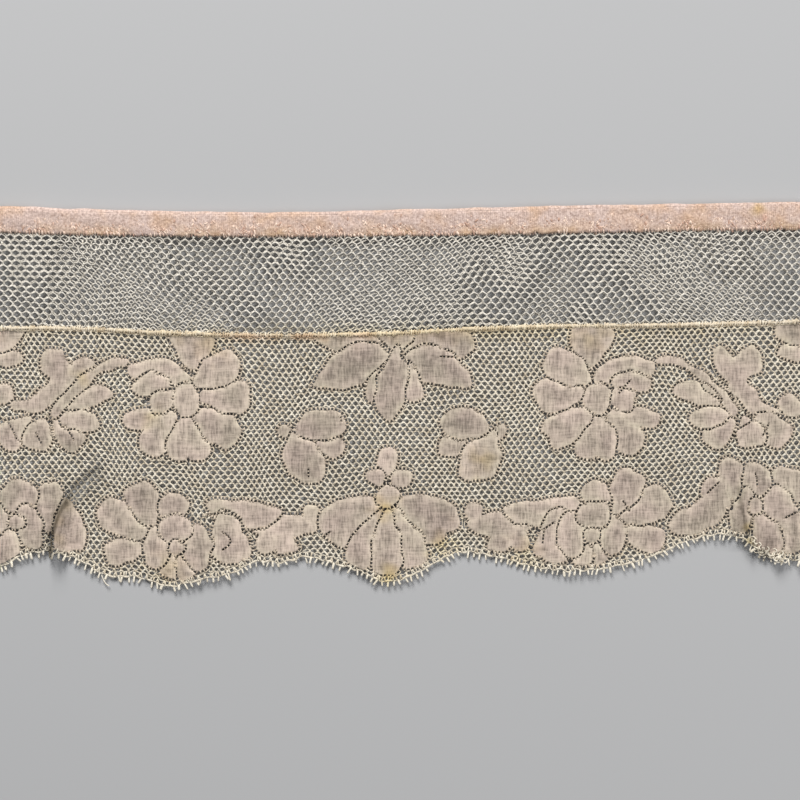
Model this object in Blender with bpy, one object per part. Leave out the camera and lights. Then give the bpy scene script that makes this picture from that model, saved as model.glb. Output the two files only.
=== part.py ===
"""Lace edging: a cut length of bobbin lace whipped to a doubled net strip under a folded heading tape.

The edging lies flat on the XY plane with its heading towards +Y and its scallops towards -Y.
The tables below are in millimetres, in the lace's own drawing frame; the model is in metres and is
shifted so that its box is centred on the origin and rests on Z = 0.
"""
import math
from typing import NamedTuple

import bpy
import numpy as np
from mathutils import Vector
from mathutils.geometry import delaunay_2d_cdt
from mathutils.kdtree import KDTree

MM = 0.001

# Cut length and the cloth's thickness
HALF_LENGTH = 82.0
SHEET = 1.0
FOLD_GAP = 0.3
BUTT_GAP = 0.3
RELIEF = 0.35
CHAMFER = 0.4
FADE_POWER = 1.3

# Picot loops along the scalloped edge
PICOT_LENGTH = 1.2
PICOT_PITCH = 1.36
PICOT_ROOT = 0.42
PICOT_TIP = 0.24

# Spacing of the points that carry the shapes
OUTLINE_POINTS = 72
PETAL_STEP = 1.5
EDGE_STEP = 3.0
STATION_STEP = 6.0
RIDGE_STEP = 1.7
EDGE_SAMPLES = 1600
LINE_SAMPLES = 401
END_POINTS = 13
TURN_POINTS = 7

# How near points may lie to each other, to other outlines and to the rim
NEAREST = 0.28
VISIBLE = 0.56
ON_LINE = 0.08
WELL_BEHIND = 0.2
RELIEF_MARGIN = 0.35
RIDGE_MARGIN = 0.5
END_MARGIN = 0.2
PICOT_AHEAD = 0.8
REACH = 2.0
FAR = 9.0
CAP_DEPTH = 5.0
MERGE = 1e-6


class Run(NamedTuple):
    """One station along the edging: heights of its long lines in the drawing frame."""

    x: float
    tape_top: float
    tape_foot: float
    seam: float


RUNS = [
    Run(-84.0, 39.0, 33.7, 14.4),
    Run(-62.0, 38.2, 33.0, 14.2),
    Run(-46.0, 37.8, 32.8, 13.4),
    Run(-20.0, 37.6, 32.7, 13.0),
    Run(0.0, 38.1, 32.8, 13.4),
    Run(14.0, 38.4, 33.0, 14.2),
    Run(34.0, 38.9, 33.4, 14.8),
    Run(54.0, 39.2, 33.8, 15.0),
    Run(84.0, 39.7, 34.1, 15.8),
]


class Dip(NamedTuple):
    """One point of the scalloped line that the picot tips touch."""

    x: float
    y: float


SCALLOP = [
    Dip(-86.0, -35.2), Dip(-80.0, -34.6), Dip(-75.0, -32.0), Dip(-69.0, -31.6),
    Dip(-63.5, -33.4), Dip(-59.5, -35.9), Dip(-52.0, -36.6), Dip(-46.0, -38.4),
    Dip(-40.0, -37.0), Dip(-34.0, -35.9), Dip(-28.6, -33.4), Dip(-24.0, -33.7),
    Dip(-19.0, -32.5), Dip(-14.0, -33.6), Dip(-8.0, -35.4), Dip(-3.4, -37.4),
    Dip(2.0, -36.3), Dip(6.0, -34.2), Dip(11.0, -31.8), Dip(20.0, -32.7),
    Dip(28.0, -34.7), Dip(40.0, -34.9), Dip(50.0, -32.5), Dip(57.0, -29.5),
    Dip(64.0, -28.0), Dip(69.0, -29.2), Dip(73.0, -32.2), Dip(78.0, -33.0),
    Dip(86.0, -33.4),
]


class Fold(NamedTuple):
    """A soft ridge that starts at the scalloped edge and fades out inside the lace."""

    x0: float
    y0: float
    x1: float
    y1: float
    height: float
    left: float
    right: float


FOLDS = [
    Fold(-69.9, -31.4, -63.4, -15.0, 2.6, 1.5, 3.2),
    Fold(69.4, -30.4, 68.6, -16.0, 2.0, 2.8, 2.4),
    Fold(74.6, -33.0, 77.0, -26.0, 1.2, 1.8, 2.2),
]


class Petal(NamedTuple):
    """A petal or leaf: an axis from base to tip, its full width, how it swells and its bow.

    Rows that share a cloth are one piece of cloth stitch. A lower cloth number lies in front.
    """

    cloth: int
    x0: float
    y0: float
    x1: float
    y1: float
    wide: float
    form: str
    bow: float = 0.0


# Swelling of each form: powers of the way from the base and from the tip
FORMS = {
    "round": (0.50, 0.50),
    "fan": (0.80, 0.36),
    "drop": (0.85, 0.60),
    "leaf": (0.60, 0.95),
    "band": (0.16, 0.16),
}

MOTIFS = {
    "rose": [
        Petal(1, 0.0, 3.2, 0.0, -3.8, 5.6, "round"),
        Petal(2, 1.2, 0.6, 7.6, -1.6, 5.0, "fan"),
        Petal(3, -0.4, 2.4, -10.4, 7.8, 7.0, "fan"),
        Petal(4, -1.6, 0.2, -12.8, 0.2, 7.4, "fan"),
        Petal(5, -0.8, -2.4, -10.4, -8.8, 7.0, "fan"),
        Petal(6, -0.4, -2.6, -2.8, -12.6, 5.6, "fan"),
        Petal(6, 0.2, -2.6, 2.2, -12.8, 5.0, "fan"),
        Petal(7, 2.0, -2.8, 12.6, -4.8, 4.6, "fan"),
        Petal(7, 1.8, -3.2, 8.4, -11.2, 6.6, "fan"),
        Petal(8, 2.8, 2.8, 11.2, 2.4, 5.0, "round"),
        Petal(9, -0.8, 3.4, 12.0, 5.6, 5.8, "round", 0.7),
        Petal(10, -1.8, 5.0, -0.8, 15.4, 9.2, "fan"),
    ],
    "palmette": [
        Petal(1, -0.4, 11.2, -2.6, -4.4, 6.4, "drop"),
        Petal(2, -1.2, 9.0, -6.2, -0.2, 4.6, "fan"),
        Petal(3, -0.2, 9.4, 3.2, -0.6, 5.0, "fan"),
        Petal(4, -0.6, 9.4, -0.8, 16.0, 7.4, "fan"),
        Petal(5, 1.0, 8.8, 15.0, 2.8, 8.0, "leaf", 0.6),
        Petal(6, -2.0, 9.2, -18.0, 2.4, 8.4, "leaf", -0.6),
        Petal(7, 0.4, 11.2, 15.0, 11.4, 8.6, "round"),
        Petal(8, -2.0, 11.8, -17.2, 13.4, 7.2, "round"),
    ],
    "sprig": [
        Petal(1, 3.6, 3.0, -6.9, 3.9, 6.4, "round", -0.3),
        Petal(2, 4.4, 2.4, -1.0, -7.8, 8.2, "drop", 0.5),
        Petal(3, -0.6, 1.4, -6.6, -2.2, 4.8, "round"),
        Petal(4, 3.8, 0.6, 6.8, 3.4, 3.0, "round"),
    ],
    "lily": [
        Petal(1, 0.0, 4.4, 0.0, -1.0, 4.8, "round"),
        Petal(2, 0.0, 12.0, 0.0, 5.2, 4.6, "leaf"),
        Petal(3, -0.6, 4.8, -4.4, 6.0, 3.6, "round"),
        Petal(4, 0.6, 4.8, 4.8, 6.0, 4.2, "round"),
        Petal(5, 0.0, -0.4, -0.4, -14.2, 6.4, "fan"),
        Petal(6, -0.6, -0.4, -6.8, -12.6, 6.8, "fan"),
        Petal(7, 0.6, -0.4, 6.2, -12.4, 6.8, "fan"),
        Petal(8, -0.6, 1.0, -13.8, -5.2, 10.6, "drop", 1.1),
        Petal(9, 0.6, 1.0, 14.4, -4.0, 10.0, "drop", -1.1),
    ],
    "peony": [
        Petal(1, 0.0, 1.8, 0.0, -1.8, 3.4, "round"),
        Petal(2, 0.2, 1.2, 0.4, 6.8, 7.4, "round"),
        Petal(3, -4.2, 5.0, -4.2, -4.6, 6.0, "round"),
        Petal(4, 4.0, 4.6, 4.2, -4.4, 5.4, "round"),
        Petal(5, -0.8, -1.2, -2.6, -6.0, 4.4, "fan"),
        Petal(6, 0.8, -1.2, 1.6, -6.0, 4.4, "fan"),
        Petal(7, 0.6, 5.4, 0.8, 11.2, 6.4, "round"),
        Petal(8, 4.4, 4.0, 8.4, 13.2, 7.0, "fan"),
        Petal(9, 5.0, 2.0, 15.4, 8.4, 7.4, "fan"),
        Petal(10, 5.4, 0.8, 14.6, -1.6, 5.6, "fan"),
    ],
    "acanthus": [
        Petal(1, 7.6, -1.2, 6.0, -8.6, 8.2, "round"),
        Petal(1, 8.6, 2.6, 3.2, -7.4, 6.4, "round", 1.2),
        Petal(2, 12.0, 3.6, -3.6, 1.6, 5.8, "round", 1.0),
        Petal(3, 3.0, -1.0, -10.8, -0.8, 5.4, "round"),
        Petal(3, 0.2, -0.6, -0.6, -6.2, 4.8, "fan"),
        Petal(3, -3.4, -1.0, -4.8, -6.4, 5.0, "fan"),
        Petal(3, -8.6, -1.6, -9.6, 3.6, 3.8, "fan"),
    ],
    "stem": [
        Petal(1, -16.6, 7.8, -8.2, 7.6, 2.2, "band", -0.3),
        Petal(1, -9.8, 8.0, 0.6, -2.4, 2.4, "band", -0.3),
        Petal(4, -0.8, -1.2, -12.4, 2.2, 4.8, "drop", -0.6),
        Petal(5, -0.8, -2.6, -9.4, -4.2, 4.6, "drop"),
        Petal(6, 0.0, -3.0, -5.8, -8.8, 6.2, "fan"),
        Petal(7, 1.6, -2.8, 3.8, -9.4, 6.2, "fan"),
        Petal(8, 4.2, -2.6, 10.4, -8.6, 6.2, "fan"),
    ],
    "trefoil": [
        Petal(2, 0.6, 2.4, -4.2, 10.6, 5.0, "fan"),
        Petal(2, 1.0, 2.6, 2.8, 10.8, 5.4, "fan"),
        Petal(2, 1.4, 2.0, 4.4, 5.8, 4.0, "fan"),
        Petal(2, -0.8, 4.8, 5.8, -3.4, 4.4, "round"),
        Petal(2, 2.2, -1.0, 9.2, -2.8, 2.8, "round"),
        Petal(3, 8.4, -0.6, 13.6, -1.6, 4.6, "round"),
    ],
    "corner": [
        Petal(1, 6.0, 4.0, -4.2, 4.4, 8.4, "round"),
        Petal(2, 7.0, 0.2, -3.8, -1.4, 4.4, "drop"),
    ],
    "side_leaf": [
        Petal(1, 4.4, -3.4, -1.0, 2.6, 5.6, "fan"),
        Petal(1, 5.0, -2.0, 3.6, 7.6, 4.8, "fan"),
        Petal(1, 3.8, 0.0, -8.4, -7.4, 6.4, "round", 1.2),
    ],
    "side_flower": [
        Petal(1, 0.0, 1.7, 0.0, -1.7, 3.4, "round"),
        Petal(2, -1.6, 4.0, -3.8, -5.4, 5.4, "round"),
        Petal(3, -1.4, 1.8, 0.4, 8.8, 7.8, "round"),
        Petal(4, 0.6, -0.6, 3.2, -9.2, 6.4, "fan"),
        Petal(5, 3.0, 4.0, 8.0, -9.6, 7.6, "round"),
        Petal(6, 2.6, 6.6, 11.0, 2.0, 7.0, "round"),
    ],
    "fold_leaf": [
        Petal(1, -4.4, 4.8, 1.6, -9.0, 5.2, "fan"),
        Petal(2, -8.4, 6.4, -3.0, -0.6, 5.0, "round"),
    ],
}


class Placed(NamedTuple):
    """Where a motif stands on the lace, mirrored or turned."""

    motif: str
    x: float
    y: float
    flip: bool = False
    turn: float = 0.0


PLACES = [
    Placed("palmette", 0.0, 0.0),
    Placed("rose", 39.4, 0.8),
    Placed("rose", -42.6, 0.4, True),
    Placed("stem", 67.0, 0.0),
    Placed("trefoil", 67.0, 0.0),
    Placed("stem", -69.4, -0.6, True),
    Placed("trefoil", -68.6, -0.8, True, -16.0),
    Placed("corner", 78.8, 10.6),
    Placed("corner", -79.2, 9.4, True),
    Placed("sprig", 14.4, -8.4),
    Placed("sprig", -17.4, -8.6, True),
    Placed("lily", -2.4, -21.0),
    Placed("peony", 38.4, -27.0),
    Placed("peony", -44.6, -29.6, True),
    Placed("acanthus", 24.0, -24.0),
    Placed("acanthus", -27.0, -24.4, True),
    Placed("side_leaf", 62.0, -18.4),
    Placed("side_flower", 71.0, -21.2),
    Placed("side_flower", -76.6, -24.6, True),
    Placed("fold_leaf", -65.6, -21.6, False),
]
CLOTHS_PER_MOTIF = 20


def smooth_line(table_x, table_y, x):
    """Cubic line through a table's points, with the slope at each point taken from its neighbours."""
    slope = np.gradient(table_y, table_x)
    cell = np.clip(np.searchsorted(table_x, x) - 1, 0, len(table_x) - 2)
    width = table_x[cell + 1] - table_x[cell]
    t = (x - table_x[cell]) / width
    start = (1.0 + 2.0 * t) * (1.0 - t) ** 2 * table_y[cell]
    end = t ** 2 * (3.0 - 2.0 * t) * table_y[cell + 1]
    bends = t * (1.0 - t) * width * ((1.0 - t) * slope[cell] - t * slope[cell + 1])
    return start + end + bends


def run_line(name, x):
    """Height of one of the long lines of RUNS at the places x."""
    places = np.array([row.x for row in RUNS])
    heights = np.array([getattr(row, name) for row in RUNS])
    return smooth_line(places, heights, np.asarray(x, dtype=float))


def scallop_line(x):
    """Height of the line through the picot tips at the places x."""
    table = np.array(SCALLOP)
    return smooth_line(table[:, 0], table[:, 1], np.asarray(x, dtype=float))


def lift(points):
    """Height of the cloth's underside: ridges that are steep on one side and fade along their axis."""
    total = np.zeros(len(points))
    for fold in FOLDS:
        base = np.array([fold.x0, fold.y0])
        step = np.array([fold.x1, fold.y1]) - base
        length = math.hypot(*step)
        axis = step / length
        offset = points - base
        along = np.clip(offset @ axis / length, 0.0, 1.0)
        # Positive across is to the right of the axis, seen from the scalloped edge
        across = offset @ np.array([axis[1], -axis[0]])
        half = np.where(across < 0.0, fold.left, fold.right)
        wave = np.cos(0.5 * math.pi * np.clip(np.abs(across) / half, 0.0, 1.0)) ** 2
        total = np.maximum(total, fold.height * (1.0 - along) ** FADE_POWER * wave)
    return total


def petal_outline(petal):
    """Closed outline of a petal: a swelling carried both ways from its bowed axis."""
    base_power, tip_power = FORMS[petal.form]
    peak = base_power / (base_power + tip_power)
    top = peak ** base_power * (1.0 - peak) ** tip_power
    angle = np.linspace(0.0, 2.0 * math.pi, OUTLINE_POINTS, endpoint=False)
    along = 0.5 - 0.5 * np.cos(angle)
    swell = along ** base_power * (1.0 - along) ** tip_power / top
    step = np.array([petal.x1 - petal.x0, petal.y1 - petal.y0])
    side = np.array([-step[1], step[0]]) / math.hypot(*step)
    across = 0.5 * petal.wide * swell * np.sign(np.sin(angle)) + petal.bow * 4.0 * along * (1.0 - along)
    return np.array([petal.x0, petal.y0]) + along[:, None] * step + across[:, None] * side


def placed_outlines():
    """Outlines of all petals on the lace, and the number of the cloth that each belongs to."""
    outlines = []
    cloths = []
    for number, place in enumerate(PLACES):
        turn = math.radians(place.turn)
        turned = np.array([[math.cos(turn), math.sin(turn)], [-math.sin(turn), math.cos(turn)]])
        mirror = np.array([-1.0 if place.flip else 1.0, 1.0])
        for petal in MOTIFS[place.motif]:
            outlines.append(petal_outline(petal) * mirror @ turned + np.array([place.x, place.y]))
            cloths.append(number * CLOTHS_PER_MOTIF + petal.cloth)
    return outlines, np.array(cloths)


def signed_distance(points, outline):
    """Distance of each point to a closed outline, negative inside it."""
    start = outline[None, :, :]
    edge = np.roll(outline, -1, axis=0)[None, :, :] - start
    away = points[:, None, :] - start
    share = np.clip((away * edge).sum(2) / np.maximum((edge ** 2).sum(2), 1e-12), 0.0, 1.0)
    distance = np.sqrt((((away - share[:, :, None] * edge)) ** 2).sum(2).min(1))
    above = away[:, :, 1] >= 0.0
    below_next = away[:, :, 1] < edge[:, :, 1]
    turn = edge[:, :, 0] * away[:, :, 1] - edge[:, :, 1] * away[:, :, 0]
    rising = (above & below_next & (turn > 0.0)).sum(1)
    falling = (~above & ~below_next & (turn < 0.0)).sum(1)
    return np.where(rising != falling, -distance, distance)


class ClothStitch:
    """The cloth-stitch petals on the ground: distances to them, and how deep a point lies in one."""

    def __init__(self):
        self.outlines, self.cloths = placed_outlines()
        self.order = np.unique(self.cloths)

    def distances(self, points):
        """Signed distance of each point to each cloth, front cloths first."""
        table = np.full((len(self.order), len(points)), FAR)
        for outline, cloth in zip(self.outlines, self.cloths):
            row = int(np.searchsorted(self.order, cloth))
            low = outline.min(0) - REACH
            high = outline.max(0) + REACH
            near = np.all((points > low) & (points < high), axis=1)
            if near.any():
                table[row, near] = np.minimum(table[row, near], signed_distance(points[near], outline))
        return table

    def front(self, table, row):
        """Distance to the nearest cloth that lies in front of one cloth."""
        return table[:row].min(0) if row else np.full(table.shape[1], FAR)

    def depth(self, points):
        """How deep each point lies in the cloth that shows there; negative on the ground."""
        table = self.distances(points)
        best = np.full(len(points), -FAR)
        for row in range(len(self.order)):
            best = np.maximum(best, np.minimum(-table[row], self.front(table, row)))
        return best


def signed_area(outline):
    """Area of a closed outline, negative if it turns clockwise."""
    x, y = outline.T
    return 0.5 * float(np.sum(x * np.roll(y, -1) - np.roll(x, -1) * y))


def even_steps(outline, spacing):
    """Points a fixed distance apart along a closed outline, with the outward direction at each."""
    closed = np.vstack([outline, outline[:1]])
    reach = np.concatenate([[0.0], np.cumsum(np.hypot(*np.diff(closed, axis=0).T))])
    count = max(8, int(round(reach[-1] / spacing)))
    places = np.linspace(0.0, reach[-1], count, endpoint=False)
    points = np.column_stack([np.interp(places, reach, closed[:, axis]) for axis in (0, 1)])
    ahead = np.roll(points, -1, axis=0) - np.roll(points, 1, axis=0)
    normal = np.column_stack([ahead[:, 1], -ahead[:, 0]]) / np.hypot(*ahead.T)[:, None]
    return points, normal * (1.0 if signed_area(points) > 0.0 else -1.0)


def relief_lines(stitch, inside_lace):
    """Runs of points along each petal's groove and along the raised rims on both its sides."""
    runs = []
    for outline, cloth in zip(stitch.outlines, stitch.cloths):
        row = int(np.searchsorted(stitch.order, cloth))
        points, normal = even_steps(outline, PETAL_STEP)
        for offset in (-CHAMFER, 0.0, CHAMFER):
            line = points + offset * normal
            table = stitch.distances(line)
            own = np.abs(table[row] - offset) < ON_LINE
            clear = stitch.front(table, row) > VISIBLE
            keep = own & clear & inside_lace(line)
            if offset > 0.0:
                behind = table[row + 1:].min(0) if row + 1 < len(table) else np.full(len(line), FAR)
                keep &= behind < -WELL_BEHIND
            runs.append((line, keep))
    return runs


def picot_edge():
    """The lace's lower edge from right to left, with a blunt tooth for each picot."""
    x = np.linspace(HALF_LENGTH, -HALF_LENGTH, EDGE_SAMPLES)
    line = np.column_stack([x, scallop_line(x) + PICOT_LENGTH])
    reach = np.concatenate([[0.0], np.cumsum(np.hypot(*np.diff(line, axis=0).T))])
    count = int(reach[-1] / PICOT_PITCH)
    centres = (np.arange(count) + 0.5) * reach[-1] / count
    edge = []
    for shift, out in ((-PICOT_ROOT, 0.0), (-PICOT_TIP, PICOT_LENGTH), (PICOT_TIP, PICOT_LENGTH),
                       (PICOT_ROOT, 0.0)):
        places = np.clip(centres + shift, 0.0, reach[-1])
        foot = np.column_stack([np.interp(places, reach, line[:, axis]) for axis in (0, 1)])
        middle = np.column_stack([np.interp(centres, reach, line[:, axis]) for axis in (0, 1)])
        beyond = centres + PICOT_AHEAD
        ahead = np.column_stack([np.interp(beyond, reach, line[:, axis]) for axis in (0, 1)]) - middle
        ahead /= np.maximum(np.hypot(*ahead.T), 1e-6)[:, None]
        edge.append(foot + out * np.column_stack([-ahead[:, 1], ahead[:, 0]]))
    teeth = np.stack(edge, axis=1).reshape(-1, 2)
    return teeth[np.abs(teeth[:, 0]) < HALF_LENGTH - END_MARGIN]


def lace_outline():
    """Closed outline of the lace: along the seam, down the right end, back along the picots."""
    count = int(2.0 * HALF_LENGTH / EDGE_STEP)
    x = np.linspace(-HALF_LENGTH, HALF_LENGTH, count + 1)
    top = np.column_stack([x, run_line("seam", x) - 0.5 * BUTT_GAP])
    ends = []
    for side in (HALF_LENGTH, -HALF_LENGTH):
        high = float(run_line("seam", side)) - 0.5 * BUTT_GAP
        low = float(scallop_line(side)) + PICOT_LENGTH
        y = np.linspace(high, low, END_POINTS)
        ends.append(np.column_stack([np.full(len(y), side), y]))
    return np.vstack([top, ends[0][1:], picot_edge(), ends[1][::-1][:-1]])[::-1]


def fold_points():
    """Points spread over each ridge, close across it and wider apart along it."""
    spread = []
    for fold in FOLDS:
        base = np.array([fold.x0, fold.y0])
        step = np.array([fold.x1, fold.y1]) - base
        length = math.hypot(*step)
        axis = step / length
        side = np.array([axis[1], -axis[0]])
        along = np.arange(-0.1, 1.05, RIDGE_STEP / length)
        left_side = np.linspace(-1.0, 0.0, 5) * fold.left
        right_side = np.linspace(0.2, 1.0, 5) * fold.right
        across = np.concatenate([left_side, right_side])
        grid_along, grid_across = np.meshgrid(along, across)
        spread.append(base + grid_along.reshape(-1, 1) * step + grid_across.reshape(-1, 1) * side)
    return np.vstack(spread)


def inside(outline, margin):
    """Test that keeps the points at least a margin inside an outline."""
    return lambda points: signed_distance(points, outline) < -margin


def spaced(groups, outline):
    """Drop points that crowd an earlier one; return the points and the links along each run."""
    tree = KDTree(len(outline) + sum(len(line) for line, _ in groups))
    kept = [Vector((x, y)) for x, y in outline]
    for index, place in enumerate(kept):
        tree.insert((place.x, place.y, 0.0), index)
    tree.balance()
    cells = {}
    for place in kept:
        cells.setdefault((int(place.x // NEAREST), int(place.y // NEAREST)), []).append(place)
    links = [(i, (i + 1) % len(kept)) for i in range(len(kept))]
    for line, keep in groups:
        last = None
        for (x, y), wanted in zip(line, keep):
            place = Vector((x, y))
            cell = (int(x // NEAREST), int(y // NEAREST))
            near = (other for i in (-1, 0, 1) for j in (-1, 0, 1)
                    for other in cells.get((cell[0] + i, cell[1] + j), ()))
            if not wanted or any((other - place).length < NEAREST for other in near):
                last = None
                continue
            cells.setdefault(cell, []).append(place)
            kept.append(place)
            if last is not None:
                links.append((last, len(kept) - 1))
            last = len(kept) - 1
    return kept, links


def triangulated(groups, outline):
    """Triangles that fill the outline through all points; also where each outline point went."""
    points, links = spaced(groups, outline)
    rim = list(range(len(outline)))
    result = delaunay_2d_cdt(points, links, [rim], 1, MERGE)
    places = np.array([tuple(place) for place in result[0]])
    went = {}
    for new, olds in enumerate(result[3]):
        for old in olds:
            went[old] = new
    return places, [tuple(face) for face in result[2]], [went[i] for i in rim]


def upward(places, faces):
    """Wind each flat triangle counter-clockwise, seen from above."""
    wound = []
    for a, b, c in faces:
        ab = places[b] - places[a]
        ac = places[c] - places[a]
        wound.append((a, b, c) if ab[0] * ac[1] - ab[1] * ac[0] > 0.0 else (a, c, b))
    return wound


def material(name, colour, roughness):
    """A plain cloth finish."""
    finish = bpy.data.materials.new(name)
    finish.use_nodes = True
    shader = finish.node_tree.nodes["Principled BSDF"]
    shader.inputs["Base Color"].default_value = (*colour, 1.0)
    shader.inputs["Roughness"].default_value = roughness
    shader.inputs["Metallic"].default_value = 0.0
    return finish


def add_object(name, points, faces, finish):
    """Make one named object from points in millimetres."""
    mesh = bpy.data.meshes.new(name)
    low, high = DRAWING_BOX
    centre = np.array([0.5 * (low[0] + high[0]), 0.5 * (low[1] + high[1]), 0.0])
    mesh.from_pydata(((np.asarray(points) - centre) * MM).tolist(), [], [list(face) for face in faces])
    mesh.validate()
    mesh.materials.append(finish)
    piece = bpy.data.objects.new(name, mesh)
    bpy.context.collection.objects.link(piece)
    return piece


def make_border(finish):
    """The lace itself: a 1 mm sheet with raised cloth-stitch petals, grooves and soft ridges."""
    stitch = ClothStitch()
    outline = lace_outline()
    lines = relief_lines(stitch, inside(outline, RELIEF_MARGIN))
    ridge = fold_points()
    ridge_group = [(ridge, inside(outline, RIDGE_MARGIN)(ridge))]
    top, top_faces, top_rim = triangulated(lines + ridge_group, outline)
    under, under_faces, under_rim = triangulated(ridge_group, outline)
    raised = np.clip(stitch.depth(top) / CHAMFER, 0.0, 1.0)
    top_height = lift(top) + SHEET + RELIEF * raised * raised * (3.0 - 2.0 * raised)
    points = np.vstack([np.column_stack([top, top_height]), np.column_stack([under, lift(under)])])
    first = len(top)
    faces = upward(top, top_faces)
    faces += [(c + first, b + first, a + first) for a, b, c in upward(under, under_faces)]
    rim = len(outline)
    clockwise = signed_area(outline) < 0.0
    for i in range(rim):
        j = (i + 1) % rim
        a, b, c, d = top_rim[i], top_rim[j], under_rim[j] + first, under_rim[i] + first
        quad = (a, b, c, d) if clockwise else (d, c, b, a)
        faces += [(quad[0], quad[1], quad[2]), (quad[0], quad[2], quad[3])]
    return add_object("lace_border", points, faces, finish)


def folded_section():
    """Section of a cloth doubled over: (way from the fold, share of the depth, height)."""
    outer = SHEET + 0.5 * FOLD_GAP
    inner = 0.5 * FOLD_GAP
    turn = np.radians(np.linspace(-90.0, 90.0, TURN_POINTS))
    rows = [(0.0, 1.0, 0.0)]
    rows += [(outer - outer * math.cos(t), 0.0, outer + outer * math.sin(t)) for t in turn]
    rows += [(0.0, 1.0, 2.0 * outer), (0.0, 1.0, outer + inner)]
    rows += [(outer - inner * math.cos(t), 0.0, outer + inner * math.sin(t)) for t in turn[::-2]]
    rows += [(0.0, 1.0, outer - inner)]
    return np.array(rows)


def make_folded(name, fold_line, open_line, finish):
    """A strip doubled over along fold_line, both its edges at open_line, carried along X."""
    count = int(round(2.0 * HALF_LENGTH / STATION_STEP))
    x = np.linspace(-HALF_LENGTH, HALF_LENGTH, count + 1)
    start = fold_line(x)
    depth = open_line(x) - start
    way = np.sign(depth)
    section = folded_section()
    y = start[:, None] + way[:, None] * section[None, :, 0] + depth[:, None] * section[None, :, 1]
    z = np.broadcast_to(section[None, :, 2], y.shape)
    points = np.stack([np.broadcast_to(x[:, None], y.shape), y, z], axis=2).reshape(-1, 3)
    ring = len(section)
    faces = []
    for station in range(count):
        for i in range(ring):
            j = (i + 1) % ring
            a, b = station * ring + i, station * ring + j
            c, d = b + ring, a + ring
            faces += [(a, b, c), (a, c, d)] if way[0] < 0.0 else [(c, b, a), (d, c, a)]
    flat = np.column_stack([section[:, 0] + section[:, 1] * CAP_DEPTH, section[:, 2]])
    cap = delaunay_2d_cdt([Vector(place) for place in flat], [], [list(range(ring))], 1, MERGE)
    last = count * ring
    for a, b, c in upward(flat, [tuple(face) for face in cap[2]]):
        near = (a, b, c) if way[0] < 0.0 else (c, b, a)
        faces += [near, (near[2] + last, near[1] + last, near[0] + last)]
    return add_object(name, points, faces, finish)


def tape_fold(x):
    """Line of the tape's folded top edge."""
    return run_line("tape_top", x)


def tape_open(x):
    """Line of the tape's two lower edges."""
    return run_line("tape_foot", x) + 0.5 * BUTT_GAP


def net_fold(x):
    """Line of the net's fold at the seam."""
    return run_line("seam", x) + 0.5 * BUTT_GAP


def net_open(x):
    """Line of the net's two raw edges under the tape."""
    return run_line("tape_foot", x) - 0.5 * BUTT_GAP


def drawing_box():
    """Lowest and highest corner of the whole edging in the drawing frame."""
    x = np.linspace(-HALF_LENGTH, HALF_LENGTH, LINE_SAMPLES)
    low = picot_edge()[:, 1].min()
    high = run_line("tape_top", x).max()
    return (-HALF_LENGTH, float(low)), (HALF_LENGTH, float(high))


for leftover in list(bpy.data.objects):
    bpy.data.objects.remove(leftover, do_unlink=True)

DRAWING_BOX = drawing_box()

linen = material("linen_tape", (0.64, 0.47, 0.39), 0.85)
netting = material("cotton_net", (0.62, 0.56, 0.46), 0.8)
thread = material("lace_thread", (0.50, 0.42, 0.33), 0.8)

make_folded("heading_tape", tape_fold, tape_open, linen)
make_folded("net_strip", net_fold, net_open, netting)
make_border(thread)
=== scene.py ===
"""Looks of a bobbin lace edging: thread ground, cloth-stitch flowers, doubled net and a folded tape.

Every piece is drawn in millimetres in the lace's own drawing frame, X along the edging and Y towards its
heading, and is then placed in the frame's metres by LaceDrawing.place. The cloth lies flat on the floor.
"""
import logging
import math
from dataclasses import dataclass, field
from enum import Enum
from typing import Callable, NamedTuple, Optional, Sequence

import bpy
import numpy as np
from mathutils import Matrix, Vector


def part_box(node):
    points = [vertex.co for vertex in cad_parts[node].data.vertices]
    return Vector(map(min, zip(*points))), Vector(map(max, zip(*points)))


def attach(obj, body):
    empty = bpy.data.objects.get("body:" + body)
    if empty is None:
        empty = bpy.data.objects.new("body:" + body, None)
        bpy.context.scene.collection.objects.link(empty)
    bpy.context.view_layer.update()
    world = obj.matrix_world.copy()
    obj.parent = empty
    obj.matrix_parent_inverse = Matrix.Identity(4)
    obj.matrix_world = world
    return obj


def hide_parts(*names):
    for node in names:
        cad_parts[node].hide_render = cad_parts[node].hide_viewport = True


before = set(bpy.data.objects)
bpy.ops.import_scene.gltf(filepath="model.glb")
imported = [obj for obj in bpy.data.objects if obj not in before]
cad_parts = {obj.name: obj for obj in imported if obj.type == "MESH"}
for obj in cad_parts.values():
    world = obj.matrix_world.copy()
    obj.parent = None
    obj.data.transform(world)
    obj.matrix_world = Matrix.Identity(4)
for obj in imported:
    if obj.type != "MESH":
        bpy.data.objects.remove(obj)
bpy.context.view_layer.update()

MM = 0.001
LOG = logging.getLogger("lace_edging")
# A distance in mm that stands for "not near"
FAR = 9.0
# Room between the numbers that two motifs' cloths get
CLOTHS_PER_MOTIF = 20
# Shares of the way at which a straight thread has its rings of corners
RINGS = np.array([0.0, 0.5, 1.0])
# Radius of a short bar at those rings, as shares of its own
BAR_FORM = np.array([1.1, 0.9, 1.1])
# Least distance from a cut to the ends of the side that it cuts, as a share of the side
CUT_MARGIN = 0.06
# Width of one band of a wave texture whose scale is 1, in metres
BAND = 0.314
# Numbers of a mix node's two colour inputs and of its colour output
MIX_A, MIX_B, MIX_OUT = 6, 7, 2


class Slot(Enum):
    """The record's material slots."""

    TAPE = "linen_tape"
    NET = "cotton_net"
    LACE = "lace_thread"


class Run(NamedTuple):
    """One station along the edging: heights of its long lines in the drawing frame."""

    x: float
    tape_top: float
    tape_foot: float
    seam: float


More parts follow.
